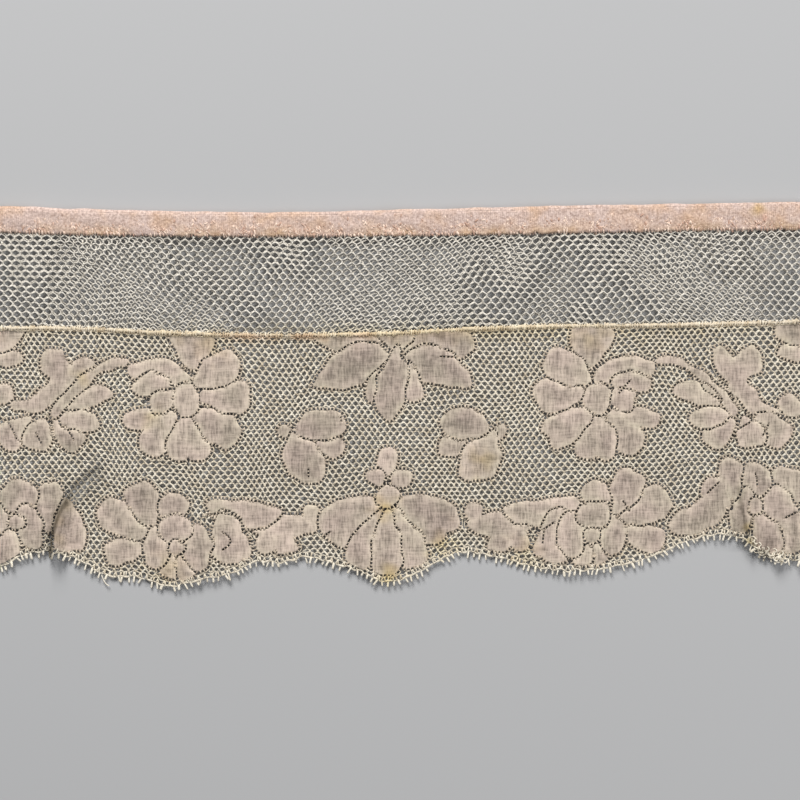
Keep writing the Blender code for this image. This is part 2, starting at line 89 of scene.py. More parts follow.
RUNS = [
    Run(-84.0, 39.0, 33.7, 14.4),
    Run(-62.0, 38.2, 33.0, 14.2),
    Run(-46.0, 37.8, 32.8, 13.4),
    Run(-20.0, 37.6, 32.7, 13.0),
    Run(0.0, 38.1, 32.8, 13.4),
    Run(14.0, 38.4, 33.0, 14.2),
    Run(34.0, 38.9, 33.4, 14.8),
    Run(54.0, 39.2, 33.8, 15.0),
    Run(84.0, 39.7, 34.1, 15.8),
]


class Dip(NamedTuple):
    """One point of the scalloped line that the picot tips touch."""

    x: float
    y: float


SCALLOP = [
    Dip(-86.0, -35.2), Dip(-80.0, -34.6), Dip(-75.0, -32.0), Dip(-69.0, -31.6),
    Dip(-63.5, -33.4), Dip(-59.5, -35.9), Dip(-52.0, -36.6), Dip(-46.0, -38.4),
    Dip(-40.0, -37.0), Dip(-34.0, -35.9), Dip(-28.6, -33.4), Dip(-24.0, -33.7),
    Dip(-19.0, -32.5), Dip(-14.0, -33.6), Dip(-8.0, -35.4), Dip(-3.4, -37.4),
    Dip(2.0, -36.3), Dip(6.0, -34.2), Dip(11.0, -31.8), Dip(20.0, -32.7),
    Dip(28.0, -34.7), Dip(40.0, -34.9), Dip(50.0, -32.5), Dip(57.0, -29.5),
    Dip(64.0, -28.0), Dip(69.0, -29.2), Dip(73.0, -32.2), Dip(78.0, -33.0),
    Dip(86.0, -33.4),
]


class Fold(NamedTuple):
    """A ridge that starts at the scalloped edge, fades out inside the lace and may bow to its left.

    It has its ends, its height and its width to the left and to the right of its axis.
    """

    x0: float
    y0: float
    x1: float
    y1: float
    height: float
    left: float
    right: float
    bow: float = 0.0


FOLDS = [
    Fold(-69.3, -31.4, -60.0, -13.6, 2.6, 0.80, 3.4, 2.6),
    Fold(69.4, -30.4, 68.2, -16.0, 2.0, 2.8, 1.3),
    Fold(74.6, -33.0, 77.0, -26.0, 1.2, 1.8, 2.2),
    Fold(63.4, -27.4, 64.4, -17.0, 0.5, 1.4, 1.6),
    Fold(79.4, -32.6, 79.0, -21.0, 0.7, 1.2, 1.6),
    Fold(-77.4, -33.6, -77.8, -24.0, 0.4, 1.5, 1.8),
]


class Crease(NamedTuple):
    """A line along which the lace is darkened: painted shade that stands for the shadow in a fold's crease.

    It has its ends, half its width, how dark it is and how far it bows to its left.
    """

    x0: float
    y0: float
    x1: float
    y1: float
    half: float
    dark: float
    bow: float = 0.0


# The creases get painted shade: a dark band that stands for the shadow along each fold.
CREASES = [
    Crease(-69.7, -31.2, -60.2, -13.5, 0.80, 1.00, 2.6),
    Crease(-68.7, -31.0, -60.2, -15.0, 1.60, 0.40, 2.6),
    Crease(69.2, -26.6, 67.6, -17.4, 0.58, 0.76),
    Crease(69.6, -28.4, 68.4, -18.2, 1.50, 0.38),
    Crease(66.2, -23.4, 66.6, -18.2, 0.55, 0.26),
    Crease(71.6, -31.8, 74.2, -28.6, 1.30, 0.40),
    Crease(76.2, -30.0, 76.0, -22.6, 0.70, 0.22),
    Crease(78.8, -32.0, 79.0, -23.0, 0.70, 0.22),
]


class Petal(NamedTuple):
    """A petal or leaf: an axis from base to tip, its full width, how it swells and its bow.

    Rows that share a cloth are one piece of cloth stitch. A lower cloth number lies in front.
    """

    cloth: int
    x0: float
    y0: float
    x1: float
    y1: float
    wide: float
    form: str
    bow: float = 0.0


# Swelling of each form: powers of the way from the base and from the tip
FORMS = {
    "round": (0.50, 0.50),
    "fan": (0.80, 0.36),
    "drop": (0.85, 0.60),
    "leaf": (0.60, 0.95),
    "band": (0.16, 0.16),
}

MOTIFS = {
    "rose": [
        Petal(1, 0.0, 3.2, 0.0, -3.8, 5.6, "round"),
        Petal(2, 1.2, 0.6, 7.6, -1.6, 5.0, "fan"),
        Petal(3, -0.4, 2.4, -10.4, 7.8, 7.0, "fan"),
        Petal(4, -1.6, 0.2, -12.8, 0.2, 7.4, "fan"),
        Petal(5, -0.8, -2.4, -10.4, -8.8, 7.0, "fan"),
        Petal(6, -0.4, -2.6, -2.8, -12.6, 5.6, "fan"),
        Petal(6, 0.2, -2.6, 2.2, -12.8, 5.0, "fan"),
        Petal(7, 2.0, -2.8, 12.6, -4.8, 4.6, "fan"),
        Petal(7, 1.8, -3.2, 8.4, -11.2, 6.6, "fan"),
        Petal(8, 2.8, 2.8, 11.2, 2.4, 5.0, "round"),
        Petal(9, -0.8, 3.4, 12.0, 5.6, 5.8, "round", 0.7),
        Petal(10, -1.8, 5.0, -0.8, 15.4, 9.2, "fan"),
    ],
    "palmette": [
        Petal(1, -0.4, 11.2, -2.6, -4.4, 6.4, "drop"),
        Petal(2, -1.2, 9.0, -6.2, -0.2, 4.6, "fan"),
        Petal(3, -0.2, 9.4, 3.2, -0.6, 5.0, "fan"),
        Petal(4, -0.6, 9.4, -0.8, 16.0, 7.4, "fan"),
        Petal(5, 1.0, 8.8, 15.0, 2.8, 8.0, "leaf", 0.6),
        Petal(6, -2.0, 9.2, -18.0, 2.4, 8.4, "leaf", -0.6),
        Petal(7, 0.4, 11.2, 15.0, 11.4, 8.6, "round"),
        Petal(8, -2.0, 11.8, -17.2, 13.4, 7.2, "round"),
    ],
    "sprig": [
        Petal(1, 3.6, 3.0, -6.9, 3.9, 6.4, "round", -0.3),
        Petal(2, 4.4, 2.4, -1.0, -7.8, 8.2, "drop", 0.5),
        Petal(3, -0.6, 1.4, -6.6, -2.2, 4.8, "round"),
        Petal(4, 3.8, 0.6, 6.8, 3.4, 3.0, "round"),
    ],
    "lily": [
        Petal(1, 0.0, 4.4, 0.0, -1.0, 4.8, "round"),
        Petal(2, 0.0, 12.0, 0.0, 5.2, 4.6, "leaf"),
        Petal(3, -0.6, 4.8, -4.4, 6.0, 3.6, "round"),
        Petal(4, 0.6, 4.8, 4.8, 6.0, 4.2, "round"),
        Petal(5, 0.0, -0.4, -0.4, -14.2, 6.4, "fan"),
        Petal(6, -0.6, -0.4, -6.8, -12.6, 6.8, "fan"),
        Petal(7, 0.6, -0.4, 6.2, -12.4, 6.8, "fan"),
        Petal(8, -0.6, 1.0, -13.8, -5.2, 10.6, "drop", 1.1),
        Petal(9, 0.6, 1.0, 14.4, -4.0, 10.0, "drop", -1.1),
    ],
    "peony": [
        Petal(1, 0.0, 1.8, 0.0, -1.8, 3.4, "round"),
        Petal(2, 0.2, 1.2, 0.4, 6.8, 7.4, "round"),
        Petal(3, -4.2, 5.0, -4.2, -4.6, 6.0, "round"),
        Petal(4, 4.0, 4.6, 4.2, -4.4, 5.4, "round"),
        Petal(5, -0.8, -1.2, -2.6, -6.0, 4.4, "fan"),
        Petal(6, 0.8, -1.2, 1.6, -6.0, 4.4, "fan"),
        Petal(7, 0.6, 5.4, 0.8, 11.2, 6.4, "round"),
        Petal(8, 4.4, 4.0, 8.4, 13.2, 7.0, "fan"),
        Petal(9, 5.0, 2.0, 15.4, 8.4, 7.4, "fan"),
        Petal(10, 5.4, 0.8, 14.6, -1.6, 5.6, "fan"),
    ],
    "acanthus": [
        Petal(1, 7.6, -1.2, 6.0, -8.6, 8.2, "round"),
        Petal(1, 8.6, 2.6, 3.2, -7.4, 6.4, "round", 1.2),
        Petal(2, 12.0, 3.6, -3.6, 1.6, 5.8, "round", 1.0),
        Petal(3, 3.0, -1.0, -10.8, -0.8, 5.4, "round"),
        Petal(3, 0.2, -0.6, -0.6, -6.2, 4.8, "fan"),
        Petal(3, -3.4, -1.0, -4.8, -6.4, 5.0, "fan"),
        Petal(3, -8.6, -1.6, -9.6, 3.6, 3.8, "fan"),
    ],
    "stem": [
        Petal(1, -16.8, 7.3, -7.8, 5.5, 2.3, "band", 1.5),
        Petal(1, -9.4, 6.7, 0.4, -3.0, 2.4, "band", 0.5),
        Petal(4, -0.8, -1.2, -12.4, 2.2, 4.8, "drop", -0.6),
        Petal(5, -0.8, -2.6, -9.4, -4.2, 4.6, "drop"),
        Petal(6, 0.0, -3.0, -5.8, -8.8, 6.2, "fan"),
        Petal(7, 1.6, -2.8, 3.8, -9.4, 6.2, "fan"),
        Petal(8, 4.2, -2.6, 10.4, -8.6, 6.2, "fan"),
    ],
    "trefoil": [
        Petal(2, 0.4, 2.0, -4.0, 11.0, 4.2, "fan"),
        Petal(2, 2.4, 4.4, 3.2, 11.0, 5.8, "round"),
        Petal(2, -0.2, 0.2, 1.2, 9.4, 4.6, "round"),
        Petal(2, -0.8, 4.8, 5.8, -3.4, 4.4, "round"),
        Petal(2, 2.2, -1.0, 9.2, -2.8, 2.8, "round"),
        Petal(3, 8.4, -0.6, 13.6, -1.6, 4.6, "round"),
    ],
    "corner": [
        Petal(1, 6.0, 4.0, -4.2, 4.4, 8.4, "round"),
        Petal(2, 7.0, 0.2, -3.8, -1.4, 4.4, "drop"),
    ],
    "side_leaf": [
        Petal(1, 4.4, -3.4, -1.0, 2.6, 5.6, "fan"),
        Petal(1, 5.0, -2.0, 3.6, 7.6, 4.8, "fan"),
        Petal(1, 3.8, 0.0, -8.4, -7.4, 6.4, "round", 1.2),
    ],
    "side_flower": [
        Petal(1, 0.0, 1.7, 0.0, -1.7, 3.4, "round"),
        Petal(2, -1.6, 4.0, -3.8, -5.4, 5.4, "round"),
        Petal(3, -1.4, 1.8, 0.4, 8.8, 7.8, "round"),
        Petal(4, 0.6, -0.6, 3.2, -9.2, 6.4, "fan"),
        Petal(5, 3.0, 4.0, 8.0, -9.6, 7.6, "round"),
        Petal(6, 2.6, 6.6, 11.0, 2.0, 7.0, "round"),
    ],
    "fold_leaf": [
        Petal(1, -1.4, 2.8, 0.2, -9.2, 6.8, "fan"),
        Petal(2, -4.6, -5.4, -4.0, 5.4, 5.8, "fan"),
    ],
}


class Placed(NamedTuple):
    """Where a motif stands on the lace, mirrored or turned, and how much duller its cloth is."""

    motif: str
    x: float
    y: float
    flip: bool = False
    turn: float = 0.0
    dim: float = 0.0


PLACES = [
    Placed("palmette", 0.0, 0.0, dim=0.26),
    Placed("rose", 39.4, 0.8),
    Placed("rose", -42.6, 0.4, True),
    Placed("stem", 67.0, 0.0),
    Placed("trefoil", 67.0, 0.0),
    Placed("stem", -69.4, -0.6, True),
    Placed("trefoil", -68.6, -0.8, True, -16.0),
    Placed("corner", 78.8, 10.6),
    Placed("corner", -79.2, 9.4, True),
    Placed("sprig", 14.4, -8.4, dim=0.12),
    Placed("sprig", -17.4, -8.6, True, dim=0.10),
    Placed("lily", -2.4, -21.0),
    Placed("peony", 38.4, -27.0),
    Placed("peony", -44.6, -29.6, True),
    Placed("acanthus", 24.0, -24.0),
    Placed("acanthus", -27.0, -24.4, True),
    Placed("side_leaf", 62.0, -18.4),
    Placed("side_flower", 71.0, -21.2),
    Placed("side_flower", -76.6, -24.6, True),
    Placed("fold_leaf", -65.6, -21.6, False),
]


class Vein(NamedTuple):
    """A row of pinholes inside a petal, from end to end, and how far it bows to its left."""

    x0: float
    y0: float
    x1: float
    y1: float
    bow: float = 0.0


VEINS = [
    Vein(-78.2, -4.4, -76.4, -8.0), Vein(-72.8, -6.4, -71.6, -8.8), Vein(-66.8, -5.2, -65.2, -8.0),
    Vein(-40.0, -23.4, -33.2, -23.0, 0.5), Vein(-33.2, -23.0, -30.0, -29.2, 0.8),
    Vein(-35.6, -26.4, -35.6, -30.0, 1.8), Vein(7.8, 8.8, 11.4, 8.4), Vein(-18.4, -13.6, -18.2, -15.6),
    Vein(-12.0, -3.2, -11.6, -4.4), Vein(46.0, 4.0, 43.6, 1.2), Vein(48.0, 0.8, 47.2, 0.0),
    Vein(60.8, 3.6, 64.4, 0.0, 0.3), Vein(62.0, 5.2, 68.0, -1.6, 0.5), Vein(67.2, -6.0, 70.0, -4.4),
    Vein(73.6, -4.8, 72.4, -7.2), Vein(28.8, -26.0, 28.4, -28.8), Vein(28.4, -26.0, 30.8, -24.4),
    Vein(44.4, -20.0, 46.0, -22.4), Vein(63.7, -16.4, 61.3, -18.7), Vein(71.0, -14.5, 71.4, -17.2),
    Vein(76.8, -23.6, 79.2, -22.4), Vein(-16.0, -27.7, -13.9, -26.3), Vein(9.1, -26.7, 10.7, -26.3),
]


class Stain(NamedTuple):
    """A soft stain: its middle, its radius, how strong it is and how many times wider than tall."""

    x: float
    y: float
    radius: float
    strength: float
    wide: float = 1.0


# Five yellow spots, at (-66.6, -21.4), (-67.8, -24.2), (-68.4, -27.6), (69.2, -25.4) and (69.6, -28.4), lie
# along the folds' creases as painted shade; the others are stains.
YELLOW_STAINS_AND_CREASE_SHADE = [
    Stain(16.4, -12.0, 2.2, 0.50), Stain(-3.0, -21.4, 2.2, 0.70), Stain(-2.2, -35.2, 2.4, 0.70),
    Stain(8.8, -29.0, 2.6, 0.50), Stain(71.4, 38.2, 1.5, 0.75), Stain(-46.0, -33.4, 3.4, 0.25),
    Stain(-38.0, 11.6, 3.6, 0.30), Stain(-50.0, -3.4, 2.0, 0.30), Stain(-66.6, -21.4, 1.3, 0.25),
    Stain(-67.8, -24.2, 1.3, 0.25), Stain(-68.4, -27.6, 1.3, 0.25), Stain(25.0, -30.4, 3.0, 0.30),
    Stain(-63.6, 4.6, 1.8, 0.35), Stain(38.0, 12.0, 2.6, 0.30), Stain(69.2, -25.4, 1.0, 0.60),
    Stain(69.6, -28.4, 1.0, 0.60), Stain(0.0, 13.6, 2.0, 0.30, 30.0),
]
PINK_STAINS = [
    Stain(-30.0, 12.6, 0.9, 0.32, 8.0), Stain(-19.0, 12.6, 0.8, 0.36, 5.0),
    Stain(-8.0, 12.8, 0.8, 0.30, 2.5), Stain(72.8, 36.4, 0.8, 0.50),
]


def smooth_line(table_x: np.ndarray, table_y: np.ndarray, x: np.ndarray) -> np.ndarray:
    """Cubic line through a table's points, with the slope at each point taken from its neighbours.

    Args:
        table_x: Places of the table's points, rising.
        table_y: Heights at those places.
        x: Places where the line is wanted.

    Returns:
        The heights at x.
    """
    slope = np.gradient(table_y, table_x)
    cell = np.clip(np.searchsorted(table_x, x) - 1, 0, len(table_x) - 2)
    width = table_x[cell + 1] - table_x[cell]
    t = (x - table_x[cell]) / width
    start = (1.0 + 2.0 * t) * (1.0 - t) ** 2 * table_y[cell]
    end = t ** 2 * (3.0 - 2.0 * t) * table_y[cell + 1]
    bends = t * (1.0 - t) * width * ((1.0 - t) * slope[cell] - t * slope[cell + 1])
    return start + end + bends


class Ripple:
    """Smooth unevenness: a sum of plane waves with seeded directions, lengths and phases."""

    waves = 9

    def __init__(self, seed: int, shortest: float, longest: float) -> None:
        """Draw the waves.

        Args:
            seed: Seed of the draw.
            shortest: Shortest wavelength in mm.
            longest: Longest wavelength in mm.
        """
        draw = np.random.default_rng(seed)
        turn = draw.uniform(0.0, math.pi, self.waves)
        length = draw.uniform(shortest, longest, self.waves)
        self.vectors = 2.0 * math.pi / length * np.stack([np.cos(turn), np.sin(turn)])
        self.phases = draw.uniform(0.0, 2.0 * math.pi, self.waves)
        self.gain = math.sqrt(2.0 / self.waves)

    def __call__(self, points: np.ndarray) -> np.ndarray:
        """Height of the unevenness at points, mostly within one of zero."""
        return self.gain * np.sin(points[..., :2] @ self.vectors + self.phases).sum(-1)


class Spread(NamedTuple):
    """A size that varies from thread to thread: a bell curve and its limits."""

    middle: float
    spread: float
    least: float
    most: float

    def sizes(self, draw: np.random.Generator, count: int, less: np.ndarray | float = 0.0) -> np.ndarray:
        """One size a thread, as a column, each made smaller by less."""
        return np.clip(draw.normal(self.middle, self.spread, (count, 1)) - less, self.least, self.most)


def raised(flat: np.ndarray, level: np.ndarray) -> np.ndarray:
    """Join points of the drawing and their heights."""
    return np.concatenate([flat, level[..., None]], axis=-1)


def three_points(ends: np.ndarray) -> np.ndarray:
    """The start, the middle and the end of each straight thread, shaped (threads, 3, 2)."""
    return ends[:, :1] + RINGS[None, :, None] * (ends[:, 1:] - ends[:, :1])


def onward(out: np.ndarray) -> np.ndarray:
    """Turn a line's right-hand normals to the way that it runs."""
    return np.column_stack([-out[:, 1], out[:, 0]])


def grid_points(x: np.ndarray, y: np.ndarray) -> np.ndarray:
    """All points of a grid, row by row, shaped (points, 2)."""
    return np.stack(np.meshgrid(x, y), axis=2).reshape(-1, 2)


def nearest(away: np.ndarray, edge: np.ndarray) -> np.ndarray:
    """Least distance of each point to any of several straight sides.

    Args:
        away: From each side's start to each point, shaped (points, sides, 2).
        edge: From each side's start to its end, shaped (1, sides, 2).

    Returns:
        One distance a point.
    """
    share = np.clip((away * edge).sum(2) / np.maximum((edge ** 2).sum(2), 1e-12), 0.0, 1.0)
    return np.sqrt(((away - share[:, :, None] * edge) ** 2).sum(2).min(1))


def signed_distance(points: np.ndarray, outline: np.ndarray) -> np.ndarray:
    """Distance of each point to a closed outline, negative inside it.

    Args:
        points: Points of the plane, one a row.
        outline: Corners of the outline, one a row.

    Returns:
        One distance a point: the least one to any side, signed by the winding of the outline.
    """
    start = outline[None, :, :]
    edge = np.roll(outline, -1, axis=0)[None, :, :] - start
    away = points[:, None, :] - start
    distance = nearest(away, edge)
    above = away[:, :, 1] >= 0.0
    below_next = away[:, :, 1] < edge[:, :, 1]
    turn = edge[:, :, 0] * away[:, :, 1] - edge[:, :, 1] * away[:, :, 0]
    rising = (above & below_next & (turn > 0.0)).sum(1)
    falling = (~above & ~below_next & (turn < 0.0)).sum(1)
    return np.where(rising != falling, -distance, distance)


def even_steps(line: np.ndarray, spacing: float, closed: bool) -> tuple[np.ndarray, np.ndarray]:
    """Points a fixed distance apart along a line, with the direction to its right at each.

    Args:
        line: Points of the line, one a row.
        spacing: Wanted distance between points in mm.
        closed: Whether the line returns to its first point.

    Returns:
        The points and their right-hand unit normals. On a counter-clockwise outline these point out.
    """
    path = np.vstack([line, line[:1]]) if closed else line
    reach = np.concatenate([[0.0], np.cumsum(np.hypot(*np.diff(path, axis=0).T))])
    count = max(3, int(round(reach[-1] / spacing)) + (0 if closed else 1))
    places = np.linspace(0.0, reach[-1], count, endpoint=not closed)
    points = np.column_stack([np.interp(places, reach, path[:, axis]) for axis in (0, 1)])
    if closed:
        ahead = np.roll(points, -1, axis=0) - np.roll(points, 1, axis=0)
    else:
        ahead = np.gradient(points, axis=0)
    out = np.column_stack([ahead[:, 1], -ahead[:, 0]])
    return points, out / np.hypot(*ahead.T)[:, None]


@dataclass
class LaceDrawing:
    """The drawing that all pieces share: long lines, scallop, folds and cloth-stitch outlines.

    Attributes:
        half_length: Half the cut length in mm.
        picot_length: How far the picots stand out of the lace's edge in mm.
        outline_points: Corners of each petal's outline.
        rest_height: Middle height of the lace's threads above the floor in mm.
        unevenness: How far the lace rises and sinks as it lies, in mm.
        stray: How far the hand-worked outlines stray from smooth curves in mm.
        fold_fade: Power by which a fold's height fades along its axis.
        crease_shade_fade: Share of a crease's painted shade that is gone at its upper end.
    """

    half_length: float = 82.0
    picot_length: float = 1.2
    outline_points: int = 72
    rest_height: float = 0.62
    unevenness: float = 0.13
    stray: float = 0.18
    fold_fade: float = 1.3
    crease_shade_fade: float = 0.32

    def __post_init__(self) -> None:
        """Work out the petals' outlines and the drawing's place in the frame."""
        rows = [(number, petal) for number, place in enumerate(PLACES) for petal in MOTIFS[place.motif]]
        self.outlines = [self.placed(petal, PLACES[number]) for number, petal in rows]
        self.cloths = np.array([number * CLOTHS_PER_MOTIF + petal.cloth for number, petal in rows])
        self.order = np.unique(self.cloths)
        self.veins = [self.bowed_line(vein) for vein in VEINS]
        self.creases = [self.bowed_line(crease) for crease in CREASES]
        self.waves = Ripple(11, 14.0, 46.0)
        high = float(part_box("heading_tape")[1][1]) / MM
        self.centre = np.array([0.0, float(self.line("tape_top", self.along(401)).max()) - high, 0.0])

    def along(self, count: int) -> np.ndarray:
        """Even places from one end of the edging to the other."""
        return np.linspace(-self.half_length, self.half_length, count)

    @staticmethod
    def clockwise(outline: np.ndarray) -> bool:
        """Whether an outline turns clockwise, by the sign of its area."""
        x, y = outline.T
        return float(np.sum(x * np.roll(y, -1) - np.roll(x, -1) * y)) < 0.0

    def placed(self, petal: Petal, place: Placed) -> np.ndarray:
        """A petal's counter-clockwise outline where its motif stands.

        Two smooth ripples shift it, one each way, so that it is uneven and still meets its neighbours.
        """
        turn = math.radians(place.turn)
        turned = np.array([[math.cos(turn), math.sin(turn)], [-math.sin(turn), math.cos(turn)]])
        mirror = np.array([-1.0 if place.flip else 1.0, 1.0])
        outline = self.petal_outline(petal) * mirror @ turned
        outline = outline[::-1] if self.clockwise(outline) else outline
        outline = outline + np.array([place.x, place.y])
        shift = np.stack([Ripple(seed, 2.6, 7.0)(outline) for seed in (14, 15)], axis=-1)
        return outline + self.stray * shift

    def petal_outline(self, petal: Petal) -> np.ndarray:
        """Closed outline of a petal: a swelling carried both ways from its bowed axis."""
        base_power, tip_power = FORMS[petal.form]
        peak = base_power / (base_power + tip_power)
        top = peak ** base_power * (1.0 - peak) ** tip_power
        angle = np.linspace(0.0, 2.0 * math.pi, self.outline_points, endpoint=False)
        along = 0.5 - 0.5 * np.cos(angle)
        swell = along ** base_power * (1.0 - along) ** tip_power / top
        step = np.array([petal.x1 - petal.x0, petal.y1 - petal.y0])
        side = np.array([-step[1], step[0]]) / math.hypot(*step)
        bow = petal.bow * 4.0 * along * (1.0 - along)
        across = 0.5 * petal.wide * swell * np.sign(np.sin(angle)) + bow
        return np.array([petal.x0, petal.y0]) + along[:, None] * step + across[:, None] * side

    @staticmethod
    def bowed_line(row: Vein | Crease) -> np.ndarray:
        """Points of a vein or a crease, end to end: a straight line pushed left by a parabola."""
        way = np.linspace(0.0, 1.0, 9)[:, None]
        start, stop = np.array([row.x0, row.y0]), np.array([row.x1, row.y1])
        side = np.array([-(stop - start)[1], (stop - start)[0]]) / math.hypot(*(stop - start))
        return start + way * (stop - start) + 4.0 * row.bow * way * (1.0 - way) * side

    def vein_distance(self, points: np.ndarray) -> np.ndarray:
        """Distance of each point to the nearest vein."""
        least = np.full(len(points), FAR)
        for line in self.veins:
            near = self.near(points, line, 1.0)
            if near.any():
                away = points[near][:, None, :] - line[None, :-1]
                least[near] = np.minimum(least[near], nearest(away, np.diff(line, axis=0)[None]))
        return least

    @staticmethod
    def near(points: np.ndarray, line: np.ndarray, reach: float) -> np.ndarray:
        """Whether each point lies within a reach of the box round a line."""
        flat = points[:, :2]
        return np.all((flat > line.min(0) - reach) & (flat < line.max(0) + reach), axis=1)

    def line(self, name: str, x: np.ndarray) -> np.ndarray:
        """Height of one of the long lines of RUNS at the places x."""
        places = np.array([row.x for row in RUNS])
        heights = np.array([getattr(row, name) for row in RUNS])
        return smooth_line(places, heights, np.asarray(x, dtype=float))

    def edge(self, x: np.ndarray) -> np.ndarray:
        """Height of the lace's scalloped edge, where the picots start."""
        table = np.array(SCALLOP)
        return smooth_line(table[:, 0], table[:, 1], np.asarray(x, dtype=float)) + self.picot_length

    def lift(self, points: np.ndarray) -> np.ndarray:
        """Height of the folds: ridges that are steep on one side and fade along their axis."""
        total = np.zeros(points.shape[:-1])
        for fold in FOLDS:
            base = np.array([fold.x0, fold.y0])
            step = np.array([fold.x1, fold.y1]) - base
            length = math.hypot(*step)
            axis = step / length
            offset = points[..., :2] - base
            along = np.clip(offset @ axis / length, 0.0, 1.0)
            across = offset @ np.array([axis[1], -axis[0]]) + 4.0 * fold.bow * along * (1.0 - along)
            half = np.where(across < 0.0, fold.left, fold.right)
            wave = np.cos(0.5 * math.pi * np.clip(np.abs(across) / half, 0.0, 1.0)) ** 2
            total = np.maximum(total, fold.height * (1.0 - along) ** self.fold_fade * wave)
        return total

    def height(self, points: np.ndarray) -> np.ndarray:
        """Middle height of the lace as it lies: its folds and its own slight unevenness."""
        return self.rest_height + self.unevenness * self.waves(points) + self.lift(points)

    def inside(self, points: np.ndarray, seam_gap: float, edge_gap: float) -> np.ndarray:
        """Distance inside the lace: a gap below the seam, a gap above the edge, within its length."""
        below_seam = self.line("seam", points[:, 0]) - seam_gap - points[:, 1]
        above_edge = points[:, 1] - self.edge(points[:, 0]) - edge_gap
        in_length = self.half_length - np.abs(points[:, 0])
        return np.minimum.reduce([below_seam, above_edge, in_length])

    def distances(self, points: np.ndarray) -> np.ndarray:
        """Signed distance of each point to each cloth, front cloths first."""
        table = np.full((len(self.order), len(points)), FAR)
        for outline, cloth in zip(self.outlines, self.cloths):
            row = int(np.searchsorted(self.order, cloth))
            near = self.near(points, outline, 2.0)
            if near.any():
                table[row, near] = np.minimum(table[row, near], signed_distance(points[near], outline))
        return table

    @staticmethod
    def front(table: np.ndarray, row: int) -> np.ndarray:
        """Distance to the nearest cloth that lies in front of one cloth."""
        return table[:row].min(0) if row else np.full(table.shape[1], FAR)

    def depth(self, points: np.ndarray) -> np.ndarray:
        """How deep each point lies in the cloth that shows there; negative on the ground."""
        table = self.distances(points)
        best = np.full(len(points), -FAR)
        for row in range(len(self.order)):
            best = np.maximum(best, np.minimum(-table[row], self.front(table, row)))
        return best

    def place(self, points: np.ndarray) -> np.ndarray:
        """Points of the drawing in the frame's metres."""
        return (points - self.centre) * MM

    def painted_crease_shade(self, points: np.ndarray) -> np.ndarray:
        """How much painted shade each point gets along the creases, from 0 to 1.

        Across a crease it is a bell curve of uneven width, and it fades towards the upper end.
        """
        total = np.zeros(len(points))
        uneven = 1.0 + 0.20 * Ripple(6, 0.9, 4.0)(points)
        for row, line in zip(CREASES, self.creases):
            near = self.near(points, line, 2.5 * row.half)
            if near.any():
                away = points[near][:, None, :2] - line[None, :-1]
                share = nearest(away, np.diff(line, axis=0)[None]) * uneven[near] / row.half
                step = line[-1] - line[0]
                along = np.clip((points[near][:, :2] - line[0]) @ step / (step @ step), 0.0, 1.0)
                dark = row.dark * (1.0 - self.crease_shade_fade * along) * np.exp(-share ** 2)
                total[near] = np.maximum(total[near], dark)
        return total

    def marks(self, points: np.ndarray) -> dict[str, np.ndarray]:
        """Stain marks and the painted crease shade at points, which stained() reads."""
        return {
            "yellow": self.stain(points, YELLOW_STAINS_AND_CREASE_SHADE),
            "pink": self.stain(points, PINK_STAINS),
            "crease_shade": self.painted_crease_shade(points),
        }

    def stain(self, points: np.ndarray, stains: Sequence[Stain]) -> np.ndarray:
        """How stained each point is, from 0 to 1: bell-shaped spots with uneven rims."""
        total = np.zeros(len(points))
        uneven = 1.0 + 0.25 * Ripple(5, 1.5, 5.0)(points)
        for spot in stains:
            away = np.hypot((points[:, 0] - spot.x) / spot.wide, points[:, 1] - spot.y)
            away /= spot.radius * uneven
            total = np.maximum(total, spot.strength * np.exp(-1.4 * away ** 2))
        return np.clip(total, 0.0, 1.0)


def thread_tubes(
    paths: np.ndarray,
    radii: np.ndarray,
    sides: int,
) -> tuple[np.ndarray, list[np.ndarray]]:
    """Closed tubes along many paths at once: a ring of corners round each point of each path.

    Args:
        paths: Points in mm, shaped (tubes, points, 3).
        radii: Radius at each point in mm, shaped (tubes, points).
        sides: Corners of each ring.

    Returns:
        The corners, and arrays of the walls' quads and of the end caps.
    """
    tubes, rings, _ = paths.shape
    ahead = np.gradient(paths, axis=1)
    ahead /= np.maximum(np.linalg.norm(ahead, axis=2, keepdims=True), 1e-9)
    side = np.cross(np.array([0.0, 0.0, 1.0]), ahead)
    side /= np.maximum(np.linalg.norm(side, axis=2, keepdims=True), 1e-6)
    up = np.cross(ahead, side)
    angle = 2.0 * math.pi * (np.arange(sides) + 0.5) / sides
    spread = np.cos(angle)[:, None] * side[:, :, None, :] + np.sin(angle)[:, None] * up[:, :, None, :]
    corners = paths[:, :, None, :] + radii[:, :, None, None] * spread
    index = np.arange(tubes * rings * sides).reshape(tubes, rings, sides)
    here, there = index[:, :-1], index[:, 1:]
    walls = np.stack([here, np.roll(here, -1, 2), np.roll(there, -1, 2), there], axis=3).reshape(-1, 4)
    caps = np.vstack([index[:, 0, ::-1], index[:, -1, :]])
    return corners.reshape(-1, 3), [walls, caps]


